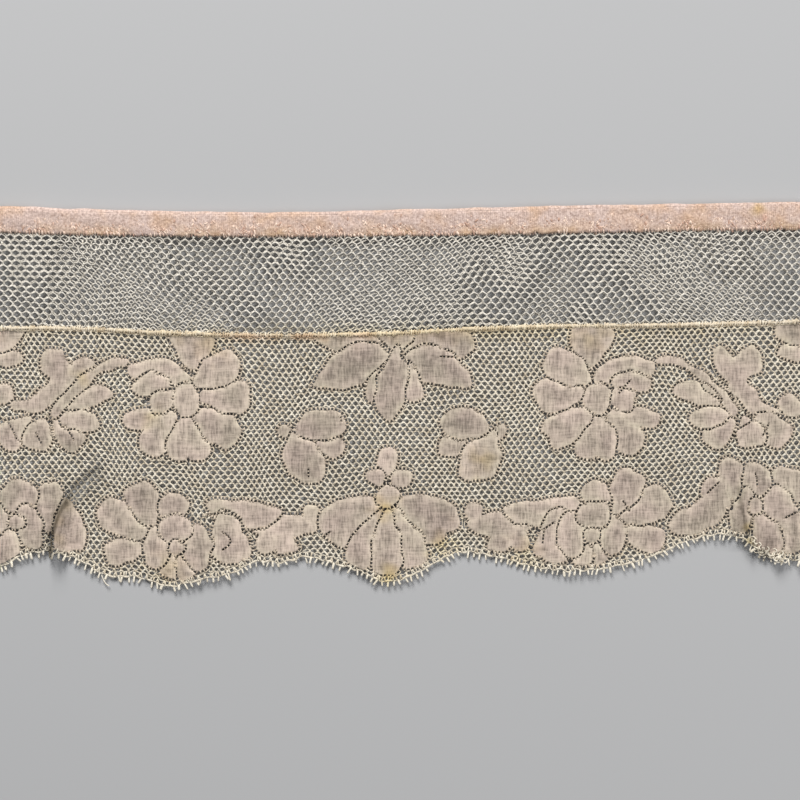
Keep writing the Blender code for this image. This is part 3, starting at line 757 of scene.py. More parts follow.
def make_piece(
    name: str,
    points: np.ndarray,
    faces: Sequence[np.ndarray],
    marks: Optional[dict[str, np.ndarray]] = None,
) -> bpy.types.Object:
    """Make one mesh object at the origin from points in the frame's metres.

    Args:
        name: The piece's name.
        points: Corners, one a row.
        faces: Arrays of faces, each with one number of corners a face.
        marks: Named values for each corner, which the finishes read.

    Returns:
        The new object, shaded smooth.
    """
    mesh = bpy.data.meshes.new(name)
    corners = np.concatenate([part.reshape(-1) for part in faces]).astype(np.int32)
    sizes = np.concatenate([np.full(len(part), part.shape[1]) for part in faces])
    starts = np.concatenate([[0], np.cumsum(sizes)[:-1]]).astype(np.int32)
    mesh.vertices.add(len(points))
    mesh.vertices.foreach_set("co", np.ascontiguousarray(points, dtype=np.float32).ravel())
    mesh.loops.add(len(corners))
    mesh.loops.foreach_set("vertex_index", corners)
    mesh.polygons.add(len(sizes))
    mesh.polygons.foreach_set("loop_start", starts)
    mesh.polygons.foreach_set("use_smooth", np.ones(len(sizes), dtype=bool))
    for label, values in (marks or {}).items():
        layer = mesh.attributes.new(label, "FLOAT", "POINT")
        layer.data.foreach_set("value", np.ascontiguousarray(values, dtype=np.float32))
    mesh.update(calc_edges=True)
    mesh.validate()
    piece = bpy.data.objects.new(name, mesh)
    bpy.context.scene.collection.objects.link(piece)
    return piece


def report(piece: bpy.types.Object) -> None:
    """Log a piece's name and how many triangles it has."""
    piece.data.calc_loop_triangles()
    LOG.info("%s: %d triangles", piece.name, len(piece.data.loop_triangles))


def linear(shade: str) -> tuple[float, float, float, float]:
    """Turn an sRGB hex colour into Blender's linear values, with full alpha."""
    parts = [int(shade[i:i + 2], 16) / 255.0 for i in (0, 2, 4)]
    red, green, blue = (c / 12.92 if c <= 0.04045 else ((c + 0.055) / 1.055) ** 2.4 for c in parts)
    return (red, green, blue, 1.0)


def add_node(
    tree: bpy.types.NodeTree,
    kind: str,
    sockets: Optional[dict] = None,
    **settings: str,
) -> bpy.types.Node:
    """Add a node, set its properties, and set or link its input sockets.

    Args:
        tree: The node tree.
        kind: The node's type.
        sockets: Input name or number to a value, or to the output socket that feeds it.
        settings: The node's own properties.

    Returns:
        The new node.
    """
    node = tree.nodes.new(kind)
    for label, value in settings.items():
        setattr(node, label, value)
    for label, source in (sockets or {}).items():
        if isinstance(source, bpy.types.NodeSocket):
            tree.links.new(source, node.inputs[label])
        else:
            node.inputs[label].default_value = source
    return node


def empty_material(name: str) -> tuple[bpy.types.Material, bpy.types.NodeTree, bpy.types.Node]:
    """Make a material with nodes; return it, its tree and its Principled shader."""
    material = bpy.data.materials.new(name)
    material.use_nodes = True
    tree = material.node_tree
    return material, tree, tree.nodes["Principled BSDF"]


def stained_and_shaded(tree: bpy.types.NodeTree, clean: bpy.types.NodeSocket) -> bpy.types.NodeSocket:
    """Lay the piece's own stain marks and the painted crease shade over a clean colour and return the new
    colour.
    """
    colour = clean
    # 4E4838 is the painted crease shade; F4E6A8 and F0B8A2 are the stains' colours, and some yellow spots
    # along the folds also stand for their shade.
    for label, shade in (("yellow", "F4E6A8"), ("pink", "F0B8A2"), ("crease_shade", "4E4838")):
        mark = add_node(tree, "ShaderNodeAttribute", attribute_name=label)
        mixed = add_node(tree, "ShaderNodeMix",
                         {"Factor": mark.outputs["Fac"], MIX_A: colour, MIX_B: linear(shade)},
                         data_type="RGBA", blend_type="MULTIPLY")
        colour = mixed.outputs[MIX_OUT]
    return colour


def blended(
    tree: bpy.types.NodeTree,
    value: bpy.types.NodeSocket,
    limits: tuple[float, float],
    first: bpy.types.NodeSocket | tuple[float, ...],
    second: bpy.types.NodeSocket | tuple[float, ...],
    blend: str = "MIX",
) -> bpy.types.NodeSocket:
    """Blend two colours by where a value lies between two limits.

    Args:
        tree: The node tree.
        value: The value.
        limits: The limits.
        first: Colour at the lower limit.
        second: Colour at the upper limit.
        blend: How the second colour is laid over the first.

    Returns:
        The new colour.
    """
    share = add_node(tree, "ShaderNodeMapRange",
                     {"Value": value, "From Min": limits[0], "From Max": limits[1]})
    mixed = add_node(tree, "ShaderNodeMix", {"Factor": share.outputs["Result"], MIX_A: first, MIX_B: second},
                     data_type="RGBA", blend_type=blend)
    return mixed.outputs[MIX_OUT]


class Surface(NamedTuple):
    """How a cloth takes light: its bump's strength and depth in mm, then the shader's own values."""

    strength: float
    depth: float
    roughness: float
    specular: float
    sheen: float

    def link(
        self,
        tree: bpy.types.NodeTree,
        shader: bpy.types.Node,
        colour: bpy.types.NodeSocket,
        height: bpy.types.NodeSocket,
    ) -> None:
        """Give a shader its colour with stains and painted crease shade, its bump and its values.

        Args:
            tree: The node tree.
            shader: The Principled shader.
            colour: The clean colour.
            height: The bump's height, from 0 to 1.
        """
        bump = add_node(tree, "ShaderNodeBump",
                        {"Height": height, "Strength": self.strength, "Distance": self.depth * MM})
        tree.links.new(stained_and_shaded(tree, colour), shader.inputs["Base Color"])
        tree.links.new(bump.outputs["Normal"], shader.inputs["Normal"])
        shader.inputs["Roughness"].default_value = self.roughness
        shader.inputs["Specular IOR Level"].default_value = self.specular
        shader.inputs["Sheen Weight"].default_value = self.sheen


@dataclass(frozen=True)
class TwistedThread:
    """Spun linen or cotton thread: matt, mottled and slightly fuzzy, with its twist as a bump.

    Attributes:
        name: The material's name.
        light: sRGB hex of the brightest thread.
        dark: sRGB hex of the dullest thread.
        twist: Length of one twist of the strands in mm, drawn coarser than the real 0.3.
        mottle: Size of the mottling in mm.
        surface: How it takes light.
    """

    name: str
    light: str
    dark: str
    twist: float = 0.5
    mottle: float = 1.6
    surface: Surface = Surface(strength=0.5, depth=0.06, roughness=0.78, specular=0.25, sheen=0.15)

    def material(self) -> bpy.types.Material:
        """Build the thread's nodes: tone marks, fine mottling and a twisted bump."""
        material, tree, shader = empty_material(self.name)
        place = add_node(tree, "ShaderNodeTexCoord").outputs["Object"]
        mottle = add_node(tree, "ShaderNodeTexNoise",
                          {"Vector": place, "Scale": 1.0 / (self.mottle * MM), "Detail": 3.0,
                           "Roughness": 0.6})
        tone = add_node(tree, "ShaderNodeAttribute", attribute_name="tone")
        bright = add_node(tree, "ShaderNodeMath", {0: mottle.outputs["Fac"], 1: tone.outputs["Fac"]},
                          operation="ADD")
        colour = blended(tree, bright.outputs[0], (0.65, 1.35), linear(self.dark), linear(self.light))
        strands = add_node(tree, "ShaderNodeTexWave",
                           {"Vector": place, "Scale": BAND / (self.twist * MM), "Distortion": 3.0,
                            "Detail": 2.0, "Detail Scale": 2.0},
                           wave_type="BANDS", bands_direction="DIAGONAL")
        self.surface.link(tree, shader, colour, strands.outputs["Fac"])
        return material


@dataclass(frozen=True)
class ClothStitchCloth:
    """Cloth stitch: linen threads woven by bobbins, semi-sheer, paler and creamier along each rim.

    Attributes:
        light: sRGB hex of the thread crests.
        dark: sRGB hex between the threads.
        cream: sRGB hex of the denser cloth along the rims.
        pink: sRGB hex that multiplies the warmer stretches.
        olive: sRGB hex that multiplies the greener stretches.
        thread: Spacing of the threads in mm, drawn coarser than the real 0.25 so that it shows.
        streak: Length of a run of thicker thread in mm.
        cloud: Size of the warmer and greener stretches in mm.
        surface: How it takes light.
    """

    light: str = "E0D1C5"
    dark: str = "938880"
    cream: str = "E4D8C8"
    pink: str = "FFFBF9"
    olive: str = "F9FAF3"
    thread: float = 0.34
    streak: float = 2.2
    cloud: float = 7.0
    surface: Surface = Surface(strength=0.5, depth=0.10, roughness=0.82, specular=0.2, sheen=0.1)

    def streaks(
        self,
        tree: bpy.types.NodeTree,
        place: bpy.types.NodeSocket,
        along_x: bool,
    ) -> bpy.types.NodeSocket:
        """Add noise that is stretched along one way of the weave.

        Args:
            tree: The node tree.
            place: Where on the cloth.
            along_x: Whether it is stretched along the edging, or else across it.

        Returns:
            The noise, from 0 to 1.
        """
        fine = 1.0 / (self.thread * MM)
        slow = 1.0 / (self.streak * MM)
        scale = (slow, fine, fine) if along_x else (fine, slow, fine)
        stretched = add_node(tree, "ShaderNodeVectorMath", {0: place, 1: scale}, operation="MULTIPLY")
        noise = add_node(tree, "ShaderNodeTexNoise",
                         {"Vector": stretched.outputs[0], "Scale": 1.0, "Detail": 2.0, "Roughness": 0.55})
        return noise.outputs["Fac"]

    def material(self) -> bpy.types.Material:
        """Build the cloth's nodes: crossed streaks for colour, bump and sheerness, rims, stains and painted
        crease shade.
        """
        material, tree, shader = empty_material("woven_cloth_stitch")
        place = add_node(tree, "ShaderNodeTexCoord").outputs["Object"]
        warp = self.streaks(tree, place, along_x=False)
        weft = self.streaks(tree, place, along_x=True)
        weave = add_node(tree, "ShaderNodeMath", {0: weft, 1: 0.6, 2: warp}, operation="MULTIPLY_ADD")
        tone = add_node(tree, "ShaderNodeAttribute", attribute_name="tone")
        toned = add_node(tree, "ShaderNodeMath", {0: tone.outputs["Fac"], 1: 0.55, 2: weave.outputs[0]},
                         operation="MULTIPLY_ADD")
        colour = blended(tree, toned.outputs[0], (0.70, 1.46), linear(self.dark), linear(self.light))
        rim = add_node(tree, "ShaderNodeAttribute", attribute_name="rim")
        rimmed = add_node(tree, "ShaderNodeMix",
                          {"Factor": rim.outputs["Fac"], MIX_A: colour, MIX_B: linear(self.cream)},
                          data_type="RGBA")
        clouds = add_node(tree, "ShaderNodeTexNoise",
                          {"Vector": place, "Scale": 1.0 / (self.cloud * MM), "Detail": 1.0})
        tint = blended(tree, clouds.outputs["Fac"], (0.36, 0.64), linear(self.pink), linear(self.olive))
        tinted = add_node(tree, "ShaderNodeMix",
                          {"Factor": 1.0, MIX_A: rimmed.outputs[MIX_OUT], MIX_B: tint},
                          data_type="RGBA", blend_type="MULTIPLY")
        self.surface.link(tree, shader, tinted.outputs[MIX_OUT], weave.outputs[0])
        sheer = add_node(tree, "ShaderNodeMapRange",
                         {"Value": weave.outputs[0], "From Min": 0.58, "From Max": 0.78, "To Min": 0.80,
                          "To Max": 1.0})
        tree.links.new(sheer.outputs["Result"], shader.inputs["Alpha"])
        return material


@dataclass(frozen=True)
class PlainWovenTape:
    """Plain-woven linen tape: matt, pink with peach clouds, and a fine even grain.

    Attributes:
        light: sRGB hex of the thread crests.
        dark: sRGB hex between the threads.
        peach: sRGB hex of the warmer clouds, which multiplies the grain.
        thread: Spacing of the threads in mm, drawn coarser than the real one so that it shows.
        speck: Size of the specks in mm.
        cloud: Size of the clouds in mm.
        surface: How it takes light.
    """

    light: str = "E8D3CA"
    dark: str = "A38A81"
    peach: str = "FFF3DF"
    thread: float = 0.40
    speck: float = 0.46
    cloud: float = 4.0
    surface: Surface = Surface(strength=0.6, depth=0.12, roughness=0.85, specular=0.2, sheen=0.12)

    def material(self) -> bpy.types.Material:
        """Build the tape's nodes: crossing waves broken up by fine noise, clouds, bump and stains."""
        material, tree, shader = empty_material("plain_woven_tape")
        place = add_node(tree, "ShaderNodeTexCoord").outputs["Object"]
        waves = [
            add_node(tree, "ShaderNodeTexWave",
                     {"Vector": place, "Scale": BAND / (self.thread * MM), "Distortion": 5.0,
                      "Detail": 2.0, "Detail Scale": 3.0},
                     wave_type="BANDS", bands_direction=way).outputs["Fac"]
            for way in ("X", "Y")
        ]
        grain = add_node(tree, "ShaderNodeMath", {0: waves[0], 1: waves[1]}, operation="MULTIPLY")
        specks = add_node(tree, "ShaderNodeTexNoise",
                          {"Vector": place, "Scale": 1.0 / (self.speck * MM), "Detail": 2.0,
                           "Roughness": 0.6})
        share = add_node(tree, "ShaderNodeMath", {0: grain.outputs[0], 1: 0.20, 2: specks.outputs["Fac"]},
                         operation="MULTIPLY_ADD")
        colour = blended(tree, share.outputs[0], (0.28, 0.78), linear(self.dark), linear(self.light))
        clouds = add_node(tree, "ShaderNodeTexNoise",
                          {"Vector": place, "Scale": 1.0 / (self.cloud * MM), "Detail": 3.0})
        clouded = blended(tree, clouds.outputs["Fac"], (0.40, 0.70), colour, linear(self.peach),
                          "MULTIPLY")
        self.surface.link(tree, shader, clouded, share.outputs[0])
        return material


@dataclass(frozen=True)
class PaleFloor:
    """The plain pale surface that the edging lies on."""

    shade: str = "B6B8BB"

    def material(self) -> bpy.types.Material:
        """Build a matt floor of one colour."""
        material, _, shader = empty_material("plain_pale_floor")
        shader.inputs["Base Color"].default_value = linear(self.shade)
        shader.inputs["Roughness"].default_value = 0.9
        return material


class Tone(NamedTuple):
    """How bright threads are: middle and spread of their tone marks."""

    middle: float
    spread: float


@dataclass
class Threads:
    """Tubes gathered from several calls, which become one piece.

    Attributes:
        drawing: The shared drawing.
        seed: Seed of the tones.
        sides: Corners of each tube's ring.
        points: Corners of the tubes so far, one array a call.
        faces: Arrays of faces of the tubes so far.
        tones: Brightness at each corner, one array a call.
    """

    drawing: LaceDrawing
    seed: int
    sides: int = 4
    points: list[np.ndarray] = field(default_factory=list)
    faces: list[np.ndarray] = field(default_factory=list)
    tones: list[np.ndarray] = field(default_factory=list)

    def __post_init__(self) -> None:
        """Start the seeded draw."""
        self.draw = np.random.default_rng(self.seed)
        self.count = 0

    def add(self, paths: np.ndarray, radii: np.ndarray, tone: Tone) -> None:
        """Add many tubes, each with a tone of its own.

        Args:
            paths: Points in mm, shaped (tubes, points, 3).
            radii: Radii in mm, shaped (tubes, points).
            tone: How bright they are.
        """
        points, faces = thread_tubes(paths, radii, self.sides)
        self.points.append(points)
        self.faces += [part + self.count for part in faces]
        self.count += len(points)
        each = self.draw.normal(tone.middle, tone.spread, len(paths))
        self.tones.append(np.repeat(each, paths.shape[1] * self.sides))

    def add_one(self, flat: np.ndarray, level: np.ndarray, radii: np.ndarray, tone: Tone) -> None:
        """Add one tube.

        Args:
            flat: Points of its path in the drawing.
            level: Height of each in mm.
            radii: Radius at each in mm.
            tone: How bright it is.
        """
        self.add(raised(flat, level)[None], radii[None], tone)

    def piece(self, name: str) -> bpy.types.Object:
        """Join the tubes into one piece with its tone marks, stain marks and painted crease shade."""
        points = np.vstack(self.points)
        marks = {"tone": np.clip(np.concatenate(self.tones), 0.0, 1.0), **self.drawing.marks(points)}
        return make_piece(name, self.drawing.place(points), self.faces, marks)


@dataclass
class Lattice:
    """A mesh of hexagons with short upright bars, in rows that follow a curved line.

    Attributes:
        pitch: Width of a hole from bar to bar in mm.
        row: Distance from one row of bars to the next in mm.
        bar: Length of an upright bar in mm.
        slim: Radius of the slanting threads in mm.
        stout: Radius where threads cross in mm.
        wobble: How far the mesh strays from its rows in mm.
        jitter: How far each crossing strays by itself in mm.
        seed: Seed of the unevenness.
        bar_share: Radius of a bar's middle as a share of its ends'.
        uneven: Spread of the threads' radii as a share.
    """

    pitch: float
    row: float
    bar: float
    slim: float
    stout: float
    wobble: float
    jitter: float
    seed: int
    bar_share: float
    uneven: float

    def radii(self, upright: np.ndarray, draw: np.random.Generator) -> np.ndarray:
        """Radius at the start, the middle and the end of each thread, shaped (threads, 3)."""
        ends = np.full(len(upright), self.stout)
        middle = np.where(upright, self.bar_share * self.stout, self.slim)
        return np.column_stack([ends, middle, ends]) * draw.normal(1.0, self.uneven, (len(upright), 1))

    def segments(self, width: float, depth: float) -> tuple[np.ndarray, np.ndarray]:
        """Ends of all threads over a width and a depth below the line y = 0, before any bending.

        Args:
            width: Half the width to cover in mm.
            depth: How far down the rows go in mm.

        Returns:
            Ends shaped (threads, 2, 2), and whether each thread is an upright bar.
        """
        rows = int(depth / self.row) + 2
        columns = int(width / self.pitch) + 2
        down, across = np.mgrid[0:rows, -columns:columns + 1]
        draw = np.random.default_rng(self.seed)
        x = (across + 0.5 * (down % 2)) * self.pitch
        middle = np.stack([x, -down * self.row], axis=2)
        shift = draw.normal(0.0, self.jitter, middle.shape)
        half = np.array([0.0, 0.5 * self.bar])
        top = middle + shift + half
        foot = middle + shift - half + draw.normal(0.0, 0.5 * self.jitter, middle.shape)
        bars = np.stack([top, foot], axis=2).reshape(-1, 2, 2)
        slants = []
        for parity in (0, 1):
            upper = foot[parity:rows - 1:2]
            lower = top[parity + 1::2]
            count = min(len(upper), len(lower))
            for step in ((-1, 0) if parity == 0 else (0, 1)):
                first = slice(max(0, -step), across.shape[1] - max(0, step))
                second = slice(max(0, step), across.shape[1] - max(0, -step))
                pair = np.stack([upper[:count, first], lower[:count, second]], axis=2)
                slants.append(pair.reshape(-1, 2, 2))
        ends = np.vstack([bars, *slants])
        upright = np.arange(len(ends)) < len(bars)
        return ends, upright

    def bent(self, ends: np.ndarray) -> np.ndarray:
        """Shift a mesh's points by two smooth ripples, one each way."""
        sideways = Ripple(self.seed + 1, 11.0, 36.0)(ends)
        upward = Ripple(self.seed + 2, 11.0, 36.0)(ends)
        return ends + self.wobble * np.stack([sideways, upward], axis=-1)


def clipped(
    ends: np.ndarray,
    room: Callable[[np.ndarray], np.ndarray],
    least: float,
) -> tuple[np.ndarray, np.ndarray]:
    """Cut threads back to where there is room for them.

    Args:
        ends: Ends of the threads, shaped (threads, 2, 2).
        room: Gives each point's distance inside the region, negative outside.
        least: Shortest thread that is kept in mm.

    Returns:
        The kept threads' ends, and their numbers among those that were given.
    """
    value = room(ends.reshape(-1, 2)).reshape(-1, 2)
    kept = (value > 0.0).any(axis=1)
    ends, value = ends[kept], value[kept]
    fall = value[:, 0] - value[:, 1]
    share = np.clip(value[:, 0] / np.where(fall == 0.0, 1.0, fall), 0.0, 1.0)
    crossing = ends[:, 0] + share[:, None] * (ends[:, 1] - ends[:, 0])
    start = np.where((value[:, 0] < 0.0)[:, None], crossing, ends[:, 0])
    stop = np.where((value[:, 1] < 0.0)[:, None], crossing, ends[:, 1])
    cut = np.stack([start, stop], axis=1)
    long_enough = np.hypot(*(stop - start).T) > least
    return cut[long_enough], np.flatnonzero(kept)[long_enough]


@dataclass
class LaceGround:
    """The lace's mesh ground, from the seam to the scalloped edge and up to each motif's rim thread.

    Attributes:
        drawing: The shared drawing.
        mesh: The ground's lattice.
        depth: How far below the seam the lattice is drawn before it is clipped, in mm.
        motif_rim: Distance from a petal's outline to the rim thread round it in mm.
        edge_rim: Distance from the lace's edge to where the ground ends in mm.
        seam_rim: Distance from the seam to where the ground starts in mm.
        shortest: Shortest thread that is kept in mm.
        bar_lift: How far an upright bar's middle stands above its ends in mm.
    """

    drawing: LaceDrawing
    mesh: Lattice = field(default_factory=lambda: Lattice(
        pitch=1.28, row=0.84, bar=0.37, slim=0.185, stout=0.265, wobble=0.26, jitter=0.045, seed=21,
        bar_share=1.0, uneven=0.09))
    depth: float = 56.0
    motif_rim: float = 0.38
    edge_rim: float = 0.95
    seam_rim: float = 0.10
    shortest: float = 0.10
    bar_lift: float = 0.03

    def room(self, points: np.ndarray) -> np.ndarray:
        """Distance inside the ground: off the petals, below the seam and above the edge."""
        off_petals = self.drawing.distances(points).min(0) - self.motif_rim
        return np.minimum(off_petals, self.drawing.inside(points, self.seam_rim, self.edge_rim))

    def build(self) -> list[bpy.types.Object]:
        """Make the ground as two pieces, its left and its right half."""
        ends, upright = self.mesh.segments(self.drawing.half_length, self.depth)
        ends = self.mesh.bent(ends)
        ends[..., 1] += self.drawing.line("seam", ends[..., 0])
        ends, which = clipped(ends, self.room, self.shortest)
        upright = upright[which]
        draw = np.random.default_rng(self.mesh.seed + 3)
        flat = three_points(ends)
        level = self.drawing.height(flat) + draw.normal(0.0, 0.02, (len(ends), 1))
        level[:, 1] += np.where(upright, self.bar_lift, draw.normal(0.0, 0.035, len(ends)))
        paths = raised(flat, level)
        radii = self.mesh.radii(upright, draw)
        left = flat[:, 1, 0] < 0.0
        pieces = []
        for name, side in (("ground_left", left), ("ground_right", ~left)):
            threads = Threads(self.drawing, self.mesh.seed + 4)
            threads.add(paths[side], radii[side], Tone(0.55, 0.10))
            pieces.append(threads.piece(name))
        return pieces


def contour_sheet(x: np.ndarray, y: np.ndarray, depth: np.ndarray) -> tuple[np.ndarray, np.ndarray]:
    """Triangles over the part of a grid where a field is positive, cut along its zero line.

    Each grid cell is two triangles. A triangle with one or two corners inside is cut where the field
    is zero along its sides, and neighbours share the cut's points.

    Args:
        x: Places of the grid's columns.
        y: Places of the grid's rows.
        depth: The field, shaped (rows, columns).

    Returns:
        The points of the sheet and its triangles, which turn counter-clockwise.
    """
    rows, columns = depth.shape
    index = np.arange(rows * columns).reshape(rows, columns)
    a, b = index[:-1, :-1].ravel(), index[:-1, 1:].ravel()
    c, d = index[1:, 1:].ravel(), index[1:, :-1].ravel()
    triangles = np.vstack([np.column_stack([a, b, c]), np.column_stack([a, c, d])])
    field_value = depth.ravel()
    inner = field_value[triangles] > 0.0
    count = inner.sum(1)
    grid = grid_points(x, y)

    def turned(rows_wanted: np.ndarray, flags: np.ndarray) -> np.ndarray:
        """Turn each triangle so that its one flagged corner comes first."""
        first = flags[rows_wanted].argmax(1)
        order = (first[:, None] + np.arange(3)) % 3
        return np.take_along_axis(triangles[rows_wanted], order, axis=1)

    one = turned(count == 1, inner)
    two = turned(count == 2, ~inner)
    sides = np.vstack([one[:, [0, 1]], one[:, [0, 2]], two[:, [0, 1]], two[:, [0, 2]]])
    low, high = sides.min(1), sides.max(1)
    keys, cut_number = np.unique(low * len(grid) + high, return_inverse=True)
    low, high = keys // len(grid), keys % len(grid)
    share = np.clip(field_value[low] / (field_value[low] - field_value[high]), CUT_MARGIN, 1.0 - CUT_MARGIN)
    cuts = grid[low] + share[:, None] * (grid[high] - grid[low])
    number = cut_number + len(grid)
    ends = np.cumsum([len(one), len(one), len(two), len(two)])
    one_b, one_c, two_b, two_c = np.split(number, ends[:-1])
    faces = np.vstack([
        triangles[count == 3],
        np.column_stack([one[:, 0], one_b, one_c]),
        np.column_stack([two_b, two[:, 1], two[:, 2]]),
        np.column_stack([two_b, two[:, 2], two_c]),
    ])
    points = np.vstack([grid, cuts])
    used, faces = np.unique(faces, return_inverse=True)
    return points[used], faces.reshape(-1, 3)


def thickened(
    points: np.ndarray,
    faces: np.ndarray,
    middle: np.ndarray,
    half: float,
) -> tuple[np.ndarray, list[np.ndarray]]:
    """Give a flat sheet two faces and a wall round each rim.

    Args:
        points: Points of the plane.
        faces: Counter-clockwise triangles.
        middle: Height of the sheet's middle at each point.
        half: Half its thickness.

    Returns:
        The points and the arrays of faces.
    """
    top = raised(points, middle + half)
    under = raised(points, middle - half)
    edges = np.vstack([faces[:, [0, 1]], faces[:, [1, 2]], faces[:, [2, 0]]])
    key = edges[:, 0] * len(points) + edges[:, 1]
    back = edges[:, 1] * len(points) + edges[:, 0]
    rim = edges[~np.isin(key, back)]
    shift = len(points)
    walls = np.column_stack([rim[:, 0], rim[:, 0] + shift, rim[:, 1] + shift, rim[:, 1]])
    return np.vstack([top, under]), [faces, faces[:, ::-1] + shift, walls]


def unbroken(keep: np.ndarray) -> list[np.ndarray]:
    """Split a closed line's kept points into unbroken runs.

    Args:
        keep: Whether each point is kept.

    Returns:
        The numbers of each run's points. A line that is kept whole is one run that ends where it starts.
    """
    if keep.all():
        return [np.concatenate([np.arange(len(keep)), [0]])]
    first = int(np.flatnonzero(~keep)[0])
    order = (np.arange(len(keep)) + first) % len(keep)
    changes = np.flatnonzero(np.diff(np.concatenate([[0], keep[order].astype(int), [0]])))
    return [order[start:stop] for start, stop in zip(changes[::2], changes[1::2])]


@dataclass
class ClothStitch:
    """The woven petals, the pinhole bars that join them and the rim thread round each motif.

    Attributes:
        drawing: The shared drawing.
        step: Spacing of the grid that the petals are cut from in mm.
        gap: Distance from a petal's outline to where its cloth starts, half a row of pinholes, in mm.
        rim: Distance from a petal's outline to the rim thread in mm.
        pinhole: Distance from one pinhole to the next in mm.
        vein_pinhole: The same distance along a vein in mm.
        vein_half: Half the width of a vein's row of pinholes in mm.
        thickness: The cloth's thickness in mm.
        seam_gap: Distance from the seam to where cloth may start in mm.
        edge_gap: Distance from the lace's edge to where cloth may start in mm.
        bar_radius: Radius of the bars across an outline in mm.
        vein_radius: Radius of the bars across a vein in mm.
        rim_radius: Radius of the rim thread in mm.
        tone: How bright the bars are.
        lowest: Where the grid starts, below the deepest scallop, in mm.
        highest: Where the grid ends, above the seam, in mm.
        puff: How far a petal's middle stands above its outline in mm.
        dull: How much duller a petal's middle is than its outline.
        lift: How far the bars and the rim thread stand above the ground in mm.
    """

    drawing: LaceDrawing
    step: float = 0.38
    gap: float = 0.19
    rim: float = 0.38
    pinhole: float = 0.74
    vein_pinhole: float = 0.66
    vein_half: float = 0.20
    thickness: float = 0.26
    seam_gap: float = 0.25
    edge_gap: float = 0.5
    bar_radius: Spread = Spread(0.215, 0.050, 0.10, 0.33)
    vein_radius: Spread = Spread(0.18, 0.035, 0.09, 0.28)
    rim_radius: float = 0.125
    tone: Tone = Tone(0.50, 0.14)
    lowest: float = -38.5
    highest: float = 17.0
    puff: float = 0.10
    dull: float = 0.28
    lift: float = 0.03

    def inside_lace(self, points: np.ndarray) -> np.ndarray:
        """Distance inside the part of the lace that cloth may cover."""
        return self.drawing.inside(points, self.seam_gap, self.edge_gap)

    def cloth(self) -> bpy.types.Object:
        """Make the petals: a sheet cut along the rows of pinholes, a little raised in each middle."""
        x = self.drawing.along(int(2.0 * self.drawing.half_length / self.step))
        y = np.arange(self.lowest, self.highest, self.step)
        points = grid_points(x, y)
        in_petals = self.drawing.depth(points) - self.gap - 0.03 * Ripple(31, 1.6, 5.0)(points)
        in_lace = self.inside_lace(points) - 0.02
        off_veins = self.drawing.vein_distance(points) - self.vein_half
        cut = np.minimum.reduce([in_petals, in_lace, off_veins])
        flat, faces = contour_sheet(x, y, cut.reshape(len(y), len(x)))
        inward = self.drawing.depth(flat)
        puff = self.puff * np.clip(inward / 0.9, 0.0, 1.0)
        middle = self.drawing.height(flat) + puff + 0.025 * Ripple(33, 1.2, 3.0)(flat)
        body, parts = thickened(flat, faces, middle, 0.5 * self.thickness)
        each = np.random.default_rng(34).normal(0.0, 0.12, len(self.drawing.order))
        each -= np.array([PLACES[cloth // CLOTHS_PER_MOTIF].dim for cloth in self.drawing.order])
        showing = (self.drawing.distances(flat) < 0.0).argmax(0)
        tone = 0.58 + each[showing] + 0.10 * Ripple(35, 2.5, 9.0)(flat)
        tone -= self.dull * np.clip((inward - 0.7) / 1.8, 0.0, 1.0)
        rim = np.clip(1.0 - inward / 1.2, 0.0, 1.0)
        rim *= np.clip(0.62 + 0.26 * Ripple(36, 2.0, 8.0)(flat), 0.1, 0.95)
        marks = {
            "tone": np.tile(np.clip(tone, 0.0, 1.0), 2),
            "rim": np.tile(rim, 2),
            **self.drawing.marks(body),
        }
        return make_piece("cloth_stitch_petals", self.drawing.place(body), parts, marks)

    def bars(self) -> bpy.types.Object:
        """Make the short bars between pinholes, across each outline that shows and each vein."""
        threads = Threads(self.drawing, 41)
        draw = np.random.default_rng(42)
        for outline, cloth in zip(self.drawing.outlines, self.drawing.cloths):
            self.outline_bars(threads, draw, outline, int(np.searchsorted(self.drawing.order, cloth)))
        for vein in self.drawing.veins:
            points, out = even_steps(vein, self.vein_pinhole, closed=False)
            flat = points[:, None] + np.array([-0.34, 0.0, 0.34])[None, :, None] * out[:, None]
            wide = self.vein_radius.sizes(draw, len(flat)) * BAR_FORM
            threads.add(raised(flat, self.drawing.height(flat) + self.lift), wide, self.tone)
        return threads.piece("pinhole_bars")

    def outline_bars(
        self,
        threads: Threads,
        draw: np.random.Generator,
        outline: np.ndarray,
        row: int,
    ) -> None:
        """Add the bars across one petal's outline, where no cloth in front of it hides them.

        Args:
            threads: Where they are added.
            draw: The seeded draw.
            outline: Corners of the outline.
            row: The petal's cloth, counted from the front.
        """
        points, out = even_steps(outline, self.pinhole, closed=True)
        points = points + draw.normal(0.0, 0.06, (len(points), 1)) * onward(out)
        table = self.drawing.distances(points)
        shows = (np.abs(table[row]) < 0.06) & (self.drawing.front(table, row) > self.gap)
        shows &= self.inside_lace(points) > 0.0
        behind = table[row + 1:].min(0, initial=FAR) < 0.0
        reach = np.where(behind, self.gap + 0.12, self.rim)[:, None]
        start = points - (self.gap + 0.14) * out
        stop = points + reach * out
        flat = np.stack([start, 0.5 * (start + stop), stop], axis=1)[shows]
        if not len(flat):
            return
        level = self.drawing.height(flat) + np.array([self.lift, 0.02, 0.0])
        wide = self.bar_radius.sizes(draw, len(flat), 0.02 * behind[shows][:, None])
        threads.add(raised(flat, level), wide * BAR_FORM, self.tone)

